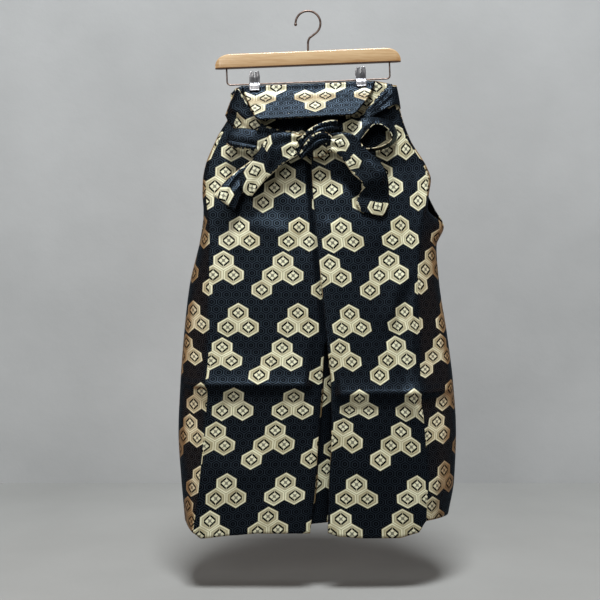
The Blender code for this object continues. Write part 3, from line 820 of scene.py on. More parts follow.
@dataclass
class Cloth:
    """A sheet of cloth on a grid of points, rows down and columns across.

    weave gives, for one cell of the grid, the function that places the weave at its corners. The weave may
    jump from one cell to the next, as it does over a seam or a pressed crease. outside is where the first
    row's right side faces. selvedge gives a point's distance from the gold thread of the nearest selvedge,
    and bare tells whether a cell's cloth has no flower on it.
    """

    name: str
    points: Grid
    weave: Callable[[int, int], Weave]
    outside: Vector
    thickness: float = CLOTH
    selvedge: Callable[[int, int], float] = no_selvedge
    bare: Callable[[int, int], bool] = patterned

    def build(self, palette: Palette) -> Object:
        """Make the sheet's object, with its right side out and its wrong side in.

        Args:
            palette: the finishes.

        Returns:
            The object.
        """
        builder = bmesh.new()
        weave_layer, edge_layer = brocade_layers(builder)
        rows = [[builder.verts.new(point) for point in row] for row in self.points]
        facing = 0.0
        for r in range(len(rows) - 1):
            for c in range(len(rows[r]) - 1):
                corners = ((r, c), (r + 1, c), (r + 1, c + 1), (r, c + 1))
                face = builder.faces.new([rows[i][j] for i, j in corners])
                place = self.weave(r, c)
                for loop, (i, j) in zip(face.loops, corners):
                    loop[weave_layer].uv = place(i, j)
                    loop[edge_layer].uv = (self.selvedge(i, j), float(self.bare(r, c)))
                if r == 0:
                    face.normal_update()
                    facing += face.normal.dot(self.outside)
        if facing < 0:
            bmesh.ops.reverse_faces(builder, faces=builder.faces)
        mesh = finish_mesh(builder, self.name, turn_out=False)
        made = mesh_object(mesh, palette.brocade, palette.reverse)
        solid = thicken(made, self.thickness)
        solid.use_even_offset = True
        solid.use_quality_normals = True
        solid.material_offset = 1
        solid.material_offset_rim = 0
        return made


def declare(cut: Cut) -> None:
    """Take the sheet of cloth that a piece was cut from; nothing is recorded."""
    list(cut.rests_on)


def arc_lengths(row: Sequence[Vector]) -> List[float]:
    """Distance along a row of points to each of them."""
    made = [0.0]
    for a, b in zip(row, row[1:]):
        made.append(made[-1] + (b - a).length)
    return made


def level_lengths(row: Sequence[Vector]) -> List[float]:
    """The same, measured in plan."""
    return arc_lengths([Vector((point.x, point.y, 0.0)) for point in row])


# ---------------------------------------------------------------- the garment's levels
SIDE = "edge_x edge_y crease_x crease_y"
BACK_LEFT = Levels(SIDE, metres((
    (-160, -158, -4, -149, -5),
    (-200, -157.5, -5, -150, -8.5),
    (-260, -186, -6, -178, -12),
    (-320, -210, -8, -202, -17),
    (-345, -214, -9, -206, -20),
    (-375, -215, -8, -206, -25),
    (-405, -213, -7, -203, -31),
    (-440, -214, -5, -199, -37),
    (-480, -223, -0.2, -197, -44),
    (-560, -242, -0.2, -197, -54),
    (-660, -253.5, -0.2, -195.5, -61),
    (-760, -261, -0.2, -198.5, -65),
    (-860, -265, -0.2, -206.5, -67),
    (-960, -259, -0.2, -216.5, -69),
    (-1050, -252, -0.2, -228, -68),
)))
BACK_RIGHT = Levels(SIDE, metres((
    (-160, 182, -4, 174, -5),
    (-200, 187.5, -5, 180, -8.5),
    (-260, 207, -6, 200, -12),
    (-320, 242, -9, 235, -17),
    (-345, 250, -11, 243, -21),
    (-375, 245.5, -13, 240, -27),
    (-405, 243, -15, 235, -32),
    (-440, 278, -0.2, 226, -39),
    (-480, 263, -0.2, 222.5, -45),
    (-560, 269, -0.2, 217, -55),
    (-660, 284.5, -0.2, 219.5, -63),
    (-760, 297, -0.2, 219, -67),
    (-860, 303, -0.2, 231, -69),
    (-960, 299, -0.2, 235.5, -70),
    (-1050, 287, -0.2, 234, -64),
)))
CENTRE = Levels("fold_x fold_y left_x left_drop layer far_y far_left far_right far_edge_y", metres((
    (-160, 4, -6, 32, 4.8, 2.4, 8.8, -139, 150, 4),
    (-200, 5, -11, 33, 5, 2.5, 9, -155, 172, 4),
    (-260, 6.5, -19, 34.5, 5.6, 2.8, 12, -178, 198, 4),
    (-320, 7.5, -27, 35.5, 6, 3, 17, -200, 228, 4),
    (-345, 8.5, -32, 36.5, 6.4, 3.2, 20, -207, 238, 4),
    (-375, 10, -38, 38, 6.4, 3.2, 24, -210, 246, 3),
    (-405, 12.5, -43, 40.5, 7, 3.5, 28, -212, 260, 2),
    (-440, 15, -49, 43, 7, 3.5, 32, -216, 278, 0.2),
    (-480, 19.5, -54, 47.5, 7.6, 3.8, 37, -223, 263, 0.2),
    (-560, 26.3, -61, 54.3, 8, 4, 44, -242, 269, 0.2),
    (-660, 36, -66, 48, 8, 4, 50, -253.5, 284.5, 0.2),
    (-680, 37.5, -67, 33, 8, 4, 51, -255, 287, 0.2),
    (-760, 45.5, -70, 27, 7, 4, 53, -261, 297, 0.2),
    (-860, 46, -72, 20, 6, 4, 55, -265, 303, 0.2),
    (-960, 41, -74, 13.3, 6, 4, 57, -259, 299, 0.2),
    (-1050, 39, -75, 3, 6, 4, 58, -252, 287, 0.2),
)))
# Edges of the panels: place across, and height.
TOP_EDGE = metres((
    (-158, -168), (-146, -157), (-136, -153.5), (136, -142.5), (172, -149), (182, -176),
))
BACK_HEM = metres((
    (-252, -1035), (-228, -1051), (-212, -1062), (-150, -1055), (-100, -1050.5),
    (3, -1050.5), (39, -1049.5), (60, -1056.5), (110, -1060.5), (180, -1060.5),
    (218, -1051), (234, -1028), (287, -1027),
))
FRONT_HEM = metres((
    (-252, -1035), (-215, -1048), (-50, -1056), (110, -1056), (240, -1045), (287, -1027),
))
TOP_ROW, UPPER_ROW, LOWER_ROW, HEM_ROW = -0.160, -0.200, -0.960, -1.050
INNER_HEM_Z = -1.034
SLIT_END = -0.445
ROW_STEP = 0.0052
PANEL_LENGTH = 0.92  # laid flat
PANEL_STRETCH = 1.01  # of the weave, for the panel's lean


def levels_down(start: float, end: float, step: float) -> List[float]:
    """Heights from start down to end, both included, about a step apart."""
    count = max(2, round((start - end) / step))
    return [lerp(start, end, i / count) for i in range(count + 1)]


def height_at(level: float, x: float, top: Sequence[Point], hem: Sequence[Point]) -> float:
    """Height of a point of a panel: its level, drawn towards the top edge or the hem near them.

    Args:
        level: the level of its row.
        x: place across.
        top: the top edge, as x and height.
        hem: the hem, likewise.

    Returns:
        The height.
    """
    if level > UPPER_ROW:
        return lerp(UPPER_ROW, along(top, x), (level - UPPER_ROW) / (TOP_ROW - UPPER_ROW))
    if level < LOWER_ROW:
        return lerp(LOWER_ROW, along(hem, x), (LOWER_ROW - level) / (LOWER_ROW - HEM_ROW))
    return level


class Guide:
    """A line down the cloth along which the chart's place is known."""

    def __init__(self, *rows: Triple) -> None:
        """Keep rows of height and place across in millimetres, and place down on the chart."""
        self.levels = Levels("x down", [(z / 1000, x / 1000, down) for z, x, down in rows])

    def at(self, z: float) -> Tuple[float, float]:
        """Place across on the cloth, and place down on the chart."""
        found = self.levels.at(z)
        return found["x"], found["down"]


@dataclass(frozen=True)
class FaceWeave:
    """How the chart lies on the back of a leg, between two guides one repeat apart.

    beyond is how much closer it is woven past the second guide.
    """

    first: Guide
    second: Guide
    beyond: float = 1.0

    def at(self, x: float, z: float) -> Point:
        """Place of the weave at a point of the face.

        Args:
            x: place across.
            z: height.

        Returns:
            The weave's place, across and down, in metres.
        """
        x0, down0 = self.first.at(z)
        x1, down1 = self.second.at(z)
        share = (x - x0) / (x1 - x0)
        share = min(share, 1.0) + max(share - 1.0, 0.0) * self.beyond
        return share * REPEAT_ACROSS * CHART_UNIT, lerp(down0, down1, share) * CHART_UNIT


LEFT_WEAVE = FaceWeave(
    Guide((-140, -134, -60), (-332, -135, 34.7), (-443, -138, 86.8), (-512, -137.5, 121.5),
          (-616, -139, 173.6), (-684, -139, 208.3), (-781, -148, 260.4), (-850, -152, 295.1),
          (-952, -161.5, 347.2), (-1024, -164, 381.9), (-1080, -166, 410)),
    Guide((-140, -12, -62), (-336, -14, 34.7), (-445, -18.5, 86.8), (-514, -18.8, 121.5),
          (-616, -20.5, 173.6), (-685, -20, 208.3), (-782, -29, 260.4), (-847, -34, 295.1),
          (-950, -45, 347.2), (-1014, -48.7, 381.9), (-1080, -50, 416)),
)
RIGHT_WEAVE = FaceWeave(
    Guide((-140, 44, -64), (-254, 51, -6), (-338, 57, 34.7), (-446, 66, 86.8),
          (-517, 74, 121.5), (-618, 82, 173.6), (-684, 92.5, 208.3), (-784, 100.5, 260.4),
          (-843, 99, 295.1), (-954, 95, 347.2), (-1022, 96.5, 381.9), (-1080, 98, 410)),
    Guide((-140, 172, -58), (-254, 180.5, 0), (-338, 183, 38), (-441, 186, 86.8),
          (-510, 192.5, 121.5), (-614, 192, 173.6), (-679, 203.5, 208.3), (-784, 208.6, 260.4),
          (-853, 213.6, 295.1), (-956, 215.5, 347.2), (-1022, 218.7, 381.9), (-1080, 220, 410)),
    beyond=1.28,
)

# The same on the sides, each along the column of flowers that it follows.
LEFT_SIDE = Guide(
    (-140, -150, -237.7), (-400, -207, -106.3), (-610.6, -231.3, 0), (-677, -222.6, 34.7),
    (-771, -211.1, 86.8), (-837, -211.5, 121.5), (-937, -214, 173.6), (-1002, -215.3, 208.3),
    (-1080, -217, 247.6),
)
RIGHT_SIDE = Guide(
    (-140, 184, -236), (-437, 258, -86.8), (-500.6, 249.5, -52.1), (-677, 266.1, 34.7),
    (-768, 265.3, 86.8), (-832.5, 256, 121.5), (-931, 247.1, 173.6), (-1080, 244, 249),
)

# Creases and soft folds of the panels: their lines across and up, how far they stand out, and their widths.
LEFT_FOLDS = (
    Fold(((-400, -735), (150, -735)), 4, 130, 40, 2.0),
    Fold(((-300, -757), (-150, -759), (-60, -761), (80, -760)), 14, 22, 6, 1.0),
    Fold(((-230, -777), (-90, -779), (50, -778)), -3, 6, 14),
    Fold(((-196, -300), (-160, -420), (-120, -520)), 3.6, 20, 30),
    Fold(((-90, -380), (-40, -430), (0, -520)), -3, 20, 24),
    Fold(((-140, -430), (-60, -455), (5, -440)), 3, 22, 14),
    Fold(((-190, -640), (-130, -690), (-60, -720)), -2, 20, 24),
    Fold(((-205, -900), (-150, -930), (-70, -925)), 2.2, 20, 30),
    Fold(((-100, -860), (-80, -960), (-90, -1060)), 2.6, 26, 20),
    Fold(((-240, -800), (-222, -900), (-225, -1040)), -2, 14, 18),
    Fold(((-264, -742), (-226, -748), (-205, -744)), -2.4, 6, 8),
)
RIGHT_FOLDS = (
    Fold(((-150, -750), (450, -750)), 4, 130, 40, 2.0),
    Fold(((-60, -776), (80, -778), (180, -775), (330, -770)), 13, 21.5, 6, 1.0),
    Fold(((14, -793), (120, -796), (250, -791)), -3, 6, 14),
    Fold(((187, -560), (178, -640), (184, -700), (202, -770)), -4.4, 10, 9),
    Fold(((212, -550), (204, -640), (208, -730)), 4, 10, 8),
    Fold(((190, -760), (212, -795), (230, -840)), 5, 9, 5, 1.2),
    Fold(((208, -520), (180, -570), (165, -650)), 3.6, 16, 22),
    Fold(((215, -560), (190, -610), (150, -690)), -2.6, 14, 18),
    Fold(((225, -790), (205, -800), (185, -830)), 3.4, 12, 10),
    Fold(((60, -350), (100, -420), (150, -500)), 3.2, 22, 26),
    Fold(((25, -430), (45, -445), (75, -440)), 2.8, 12, 14),
    Fold(((190, -290), (215, -340), (232, -400)), -2.6, 14, 16),
    Fold(((70, -900), (130, -930), (200, -920)), 2.2, 26, 22),
    Fold(((150, -850), (165, -950), (150, -1060)), -2.6, 24, 26),
    Fold(((262, -560), (250, -680), (262, -800)), -2.4, 14, 18),
    Fold(((285, -840), (262, -900), (256, -1010)), 2.4, 14, 16),
)
FAR_FOLDS = (
    Fold(((-250, -765), (-60, -770), (120, -772), (285, -766)), 3.4, 10, 24),
    Fold(((-230, -784), (60, -790), (270, -786)), -2, 10, 10),
    Fold(((-215, -560), (-150, -640), (-120, -720)), 2.4, 18, 24),
    Fold(((250, -520), (200, -600), (180, -700)), 2.4, 22, 16),
    Fold(((-80, -880), (-60, -960), (-85, -1040)), -2.2, 20, 24),
    Fold(((160, -860), (180, -950), (165, -1040)), 2.2, 24, 18),
)


def side_points(edge: Point, crease: Point, count: int) -> List[Point]:
    """Points from a side edge up to its crease, leaving the edge square to the seam.

    Args:
        edge: the side edge.
        crease: the pressed crease.
        count: number of points, the crease not among them.

    Returns:
        The points.
    """
    bend = Vector((lerp(edge[0], crease[0], 0.12), lerp(edge[1], crease[1], 0.55)))
    made = []
    for i in range(count):
        t = i / count
        point = Vector(edge).lerp(bend, t).lerp(bend.lerp(Vector(crease), t), t)
        made.append((point.x, point.y))
    return made


def stand_out(plan: Sequence[Point], amounts: Sequence[float], towards: float) -> List[Point]:
    """Move the points of a plan along its own normal.

    Args:
        plan: the points.
        amounts: how far each one moves out.
        towards: -1 where the run of the plan has its outside on the right, 1 on the left.

    Returns:
        The moved points.
    """
    made = []
    last = len(plan) - 1
    for i, ((x, y), amount) in enumerate(zip(plan, amounts)):
        (x0, y0), (x1, y1) = plan[max(i - 1, 0)], plan[min(i + 1, last)]
        length = math.hypot(x1 - x0, y1 - y0) or 1.0
        made.append((x - towards * (y1 - y0) / length * amount, y + towards * (x1 - x0) / length * amount))
    return made


class Leg(Enum):
    """Which leg a panel belongs to, by the sign of its side."""

    LEFT = -1
    RIGHT = 1

    def piece(self, kind: str) -> str:
        """Name of this leg's piece of a kind."""
        return f"{kind}_{self.name.lower()}"


@dataclass(frozen=True)
class BackShape:
    """What differs between the backs of the two legs."""

    levels: Levels
    folds: Tuple[Fold, ...]
    weave: FaceWeave
    side: Guide
    side_flower: Point
    width: float


BACKS = {
    Leg.LEFT: BackShape(BACK_LEFT, LEFT_FOLDS, LEFT_WEAVE, LEFT_SIDE, FLOWER_TOP, 0.34),
    Leg.RIGHT: BackShape(BACK_RIGHT, RIGHT_FOLDS, RIGHT_WEAVE, RIGHT_SIDE, FOUR_TOP, 0.36),
}


@dataclass
class BackPanel:
    """The back of one leg: side, pressed crease, face, and the centre where the right lies over the left."""

    leg: Leg
    side_steps: int = 18
    face_steps: int = 62
    fold_steps: int = 8
    under_steps: int = 5
    flat_above: float = -0.175
    flat_fade: float = 0.12
    seam_fade: float = 0.030
    centre_fade: float = 7
    curl: float = 0.012

    def _centre_points(self, z: float, row: Dict[str, float]) -> Tuple[float, float, List[Point]]:
        """Where the face ends, and the points beyond it.

        Args:
            z: height.
            row: the centre's values there.

        Returns:
            The x and y where the face ends, and the plan's last points.
        """
        if self.leg is Leg.RIGHT:
            radius = row["layer"] / 2
            x_end, y_end = row["fold_x"] + radius, row["fold_y"]
            points = arc((x_end, y_end + radius), radius, 270, -180, self.fold_steps)[1:]
            reach = (PLEAT_UNDER - radius) / self.under_steps
            points += [(x_end + reach * i, y_end + row["layer"]) for i in range(1, self.under_steps + 1)]
            return x_end, y_end, points
        # The left face curls in under the right one, further in above the crotch.
        under = smooth((z - CROTCH_Z) / 0.02)
        x_end = lerp(row["left_x"], row["fold_x"], under) - self.curl
        inner_y = row["fold_y"] + row["left_drop"]
        corners = [
            Vector((x_end, row["fold_y"] + 0.001)),
            Vector((x_end + 0.007, lerp(row["fold_y"], inner_y, lerp(0.35, 0.80, under)))),
            Vector((x_end + 0.0115, inner_y - lerp(0.002, 0.0, under))),
            Vector((row["left_x"], inner_y)),
        ]
        return x_end, row["fold_y"] + 0.001, [(p.x, p.y) for p in through(corners, 4)[1:]]

    def grid(self) -> Grid:
        """The panel's points, from its side edge to its centre, row by row."""
        shape, sign = BACKS[self.leg], self.leg.value
        face_end = self.side_steps + self.face_steps
        made = []
        for level in levels_down(TOP_ROW, HEM_ROW, ROW_STEP):
            side = shape.levels.at(level)
            crease = (side["crease_x"], side["crease_y"])
            plan = side_points((side["edge_x"], side["edge_y"]), crease, self.side_steps)
            x_end, y_end, centre = self._centre_points(level, CENTRE.at(level))
            for i in range(self.face_steps + 1):
                t = i / self.face_steps
                plan.append((lerp(crease[0], x_end, t), lerp(crease[1], y_end, math.sin(t * math.pi / 2))))
            plan += centre
            lengths = list(accumulate((math.dist(a, b) for a, b in zip(plan, plan[1:])), initial=0.0))
            amounts = []
            for i, (x, _) in enumerate(plan):
                z = height_at(level, x, TOP_EDGE, BACK_HEM)
                round_side = crease[0] + sign * (lengths[self.side_steps] - lengths[i])
                place = x if i >= self.side_steps else round_side
                rise = sum(fold.rise(place, z) for fold in shape.folds) + ruffle(place, z, 2.0 + sign)
                rise *= smooth((self.flat_above - z) / self.flat_fade) * smooth(lengths[i] / self.seam_fade)
                amounts.append(rise * smooth((face_end - i) / self.centre_fade))
            plan = stand_out(plan, amounts, sign)
            made.append([Vector((x, y, height_at(level, x, TOP_EDGE, BACK_HEM))) for x, y in plan])
        return made

    def build(self, palette: Palette) -> None:
        """Make the panel.

        Args:
            palette: the finishes.
        """
        shape, sign = BACKS[self.leg], self.leg.value
        face_end = self.side_steps + self.face_steps
        points = self.grid()
        lengths = [level_lengths(row) for row in points]
        starts = []
        for row, run in zip(points, lengths):
            side = [(-sign * point.x, length) for point, length in zip(row[:self.side_steps + 1], run)]
            starts.append(along(side, -sign * shape.side.at(row[0].z)[0]))

        def on_side(r: int, c: int) -> Point:
            """Weave on the side, measured round from its column of flowers."""
            across = shape.side_flower[0] * CHART_UNIT - sign * (lengths[r][c] - starts[r])
            return across, shape.side.at(points[r][c].z)[1] * CHART_UNIT

        def on_face(r: int, c: int) -> Point:
            """Weave on the face, and on round the centre fold."""
            known = points[r][min(c, face_end)]
            across, down = shape.weave.at(known.x, known.z)
            return across - sign * max(lengths[r][c] - lengths[r][face_end], 0.0), down

        def weave(r: int, c: int) -> Weave:
            """Weave of a cell, which jumps at the side crease."""
            return on_side if c < self.side_steps else on_face

        def gold(r: int, c: int) -> float:
            """Distance from the slit's selvedge."""
            return lengths[r][c] if points[r][c].z > SLIT_END else 1.0

        outside = Vector((sign * 0.3, -1.0, 0.0))
        made = Cloth(self.leg.piece("cloth_back"), points, weave, outside, selvedge=gold).build(palette)
        settle(made, "brocade", self.leg.piece("back_panel"))
        declare(Cut(shape.width, PANEL_LENGTH, Held.HUNG, ("clip_left_near", "clip_right_near")))


def inner_far_x(z: float, row: Dict[str, float], sign: int) -> float:
    """Where an inner leg wall meets the far face; the two legs part below the crotch."""
    middle = row["fold_x"] + CENTRE_FRONT_IN
    together = middle + sign * 1.4 * SEAM_GAP
    share = min(max(CROTCH_Z - z, 0.0) / 0.10, 1.0)
    apart = middle + sign * lerp((CLOTH + SEAM_GAP) / 2, LEG_GAP / 2, share)
    return lerp(together, apart, below_crotch(z))


def below_crotch(z: float) -> float:
    """A share that turns from 0 to 1 in the last centimetre above the crotch."""
    return smooth((CROTCH_Z - z) / 0.01 + 1.0)


@dataclass
class FrontPanel:
    """The front of one leg, on the far side, with its pleats turned towards the centre."""

    leg: Leg
    pleats: Tuple[float, ...]
    between: int = 12
    turn: int = 5
    crease_in: float = 0.006
    flat_above: float = -0.190
    flat_fade: float = 0.15
    deepest: float = -0.0006
    weave_in: float = 0.02
    # How far in from the side edge the crease lies, from flat cloth to cloth that stands out by full_depth.
    crease_from_edge: Point = (0.012, 0.034)
    full_depth: float = 0.05
    # The turn from the far face to the side edge: shares of the way out, and of the way back from the edge.
    side_turn: Tuple[Point, ...] = ((0.75, 0.55), (0.96, 0.22), (1.0, 0.0))

    def plan(self, z: float, row: Dict[str, float]) -> List[Point]:
        """Plan of the panel at a height, from the centre out to the side.

        Args:
            z: the height.
            row: the centre's values there.

        Returns:
            The points.
        """
        sign = self.leg.value
        x_in = inner_far_x(z, row, sign)
        layer, top = row["layer"], row["far_y"]
        deep, radius = top - 2 * layer, layer / 2
        edge_x, edge_y = row["far_left"] if sign < 0 else row["far_right"], row["far_edge_y"]
        crease_x = edge_x - sign * lerp(*self.crease_from_edge, min(1.0, top / self.full_depth))
        corner = 0.003 * below_crotch(z)
        made = [(x_in, deep - corner)]
        made += [(x_in + sign * 0.0006, deep - corner / 4), (x_in + sign * 0.004, deep)]
        for share in self.pleats:
            x = lerp(x_in, crease_x, share)
            start = made[-1][0]
            out = x + sign * PLEAT_DEPTH
            made += [(lerp(start, out, i / self.between), deep) for i in range(1, self.between)]
            made += arc((out, deep + radius), radius, 270, sign * 180, self.turn)
            made += [(lerp(out, x, i / 4), deep + layer) for i in (1, 2, 3)]
            made += arc((x, deep + 3 * radius), radius, 270, -sign * 180, self.turn)
            made += [(lerp(x, out, i / 4), top) for i in (1, 2, 3, 4)]
        start, end = made[-1][0], crease_x - sign * self.crease_in
        made += [(lerp(start, end, i / self.between), top) for i in range(1, self.between + 1)]
        corners = [Vector((end, top)), Vector((crease_x + sign * 0.008, lerp(edge_y, top, 0.88)))]
        for out, back in self.side_turn:
            corners.append(Vector((lerp(crease_x, edge_x, out), lerp(edge_y, top, back))))
        return made + [(p.x, p.y) for p in through(corners, 4)[1:]]

    def build(self, palette: Palette) -> None:
        """Make the panel.

        Args:
            palette: the finishes.
        """
        sign = self.leg.value
        points = []
        for level in levels_down(TOP_ROW, HEM_ROW, ROW_STEP * 1.4):
            plan = self.plan(level, CENTRE.at(level))
            moved = []
            for i, (x, y) in enumerate(plan):
                z = height_at(level, x, TOP_EDGE, FRONT_HEM)
                rise = sum(fold.rise(x, z) for fold in FAR_FOLDS) + ruffle(x, z, 9.0 + sign)
                hold = smooth((self.flat_above - z) / self.flat_fade)
                hold *= smooth(i / 8) * smooth((len(plan) - 1 - i) / 10)
                moved.append(Vector((x, y + max(rise, self.deepest) * hold, z)))
            points.append(moved)
        flat = [level_lengths(row) for row in points]

        def place(r: int, c: int) -> Point:
            """Weave across from the centre, and down."""
            return sign * flat[r][c] + self.weave_in, -points[r][c].z * PANEL_STRETCH

        outside = Vector((0.0, 1.0, 0.0))
        made = Cloth(self.leg.piece("cloth_front"), points, lambda r, c: place, outside).build(palette)
        settle(made, "brocade", self.leg.piece("front_panel"))
        width = round(max(row[-1] for row in flat) + 0.01, 2)
        declare(Cut(width, PANEL_LENGTH, Held.HUNG, ("clip_left_far", "clip_right_far")))


@dataclass
class InnerLeg:
    """The inner wall of one leg, below the crotch."""

    leg: Leg
    row_step: float = 0.008
    steps: int = 5
    weave_up: float = 0.008

    def _corners(self, z: float) -> List[Point]:
        """Corners of the wall's plan at a height, from the back to the front."""
        row = CENTRE.at(z)
        far_x = inner_far_x(z, row, self.leg.value)
        far_y = row["far_y"] - 2 * row["layer"] - 0.003 - SEAM_GAP
        if self.leg is Leg.LEFT:
            x, y = row["left_x"], row["fold_y"] + row["left_drop"] + CLOTH / 2 + SEAM_GAP
            corners = [(x, y), (x + 0.004, y + 0.006), (lerp(x, far_x, 0.6), y + 0.016), (far_x, y + 0.032)]
        else:
            x, y = row["fold_x"] + PLEAT_UNDER + SEAM_GAP, row["fold_y"] + row["layer"]
            corners = [(x, y), (x + 0.002, y), (x + 0.001, y + 0.020), (far_x, y + 0.040)]
        return corners + [(far_x, lerp(corners[-1][1], far_y, 0.5)), (far_x, far_y)]

    def build(self, palette: Palette) -> None:
        """Make the wall.

        Args:
            palette: the finishes.
        """
        points = []
        for z in levels_down(CROTCH_Z, INNER_HEM_Z, self.row_step):
            corners = self._corners(z)
            curve = []
            for (x0, y0), (x1, y1) in zip(corners, corners[1:]):
                shares = [i / self.steps for i in range(self.steps)]
                curve += [Vector((lerp(x0, x1, t), lerp(y0, y1, t), z)) for t in shares]
            points.append(curve + [Vector((*corners[-1], z))])
        flat = [level_lengths(row) for row in points]
        is_left = self.leg is Leg.LEFT
        weave_start = 0.0610 if is_left else 0.0120

        def place(r: int, c: int) -> Point:
            """Weave across from the centre back, and down."""
            return flat[r][c] + weave_start, -points[r][c].z * PANEL_STRETCH - self.weave_up

        outside = Vector((1.0, -1.0, 0.0) if is_left else (-1.0, 0.0, 0.0))
        made = Cloth(self.leg.piece("cloth_inner"), points, lambda r, c: place, outside).build(palette)
        settle(made, "brocade", self.leg.piece("inner_leg"))
        declare(Cut(0.13, 0.36, Held.HUNG, (self.leg.piece("cloth_back"),)))


# ---------------------------------------------------------------- bands, ties and bow
@dataclass(frozen=True)
class Patch:
    """How the chart lies on part of a band: one flower of the chart, where it sits, and how far it is turned.

    start is the share of the band's length from which the patch counts. at is the flower's place across and
    height, in millimetres, flower its place on the chart, and turned its turn in degrees, clockwise as seen
    from the back.
    """

    start: float
    at: Point
    flower: Point = FLOWER_TOP
    turned: float = 0.0
    scale: float = 1.0
    bare: bool = False


def plain(start: float, at: Point) -> Patch:
    """A patch with no flower on it."""
    return Patch(start, at, bare=True)


@dataclass(frozen=True)
class Gather:
    """Pleats that run into a knot at one end of a band, their height and reach in millimetres."""

    pleats: float
    height: float
    reach: float
    at_start: bool = True

    def rise(self, share: float, run: float, length: float, phase: float) -> float:
        """How far the gathered cloth stands out.

        Args:
            share: share of the band's width.
            run: distance along the band.
            length: the band's length.
            phase: turn of the first pleat, in radians.

        Returns:
            The rise, in metres.
        """
        away = run if self.at_start else length - run
        fade = math.exp(-((1000 * away / self.reach) ** 1.5))
        return self.height / 1000 * fade * math.sin(2 * math.pi * self.pleats * share + phase)


def edge_pairs(ribs: Sequence[Sequence[float]], steps: int) -> List[Tuple[Vector, Vector]]:
    """Smooth curves through both ends of ribs given in millimetres, steps to a rib, point by point."""
    ends = [[Vector(row) for row in metres(rib[k:k + 3] for rib in ribs)] for k in (0, 3)]
    return list(zip(*(through(end, steps) for end in ends)))


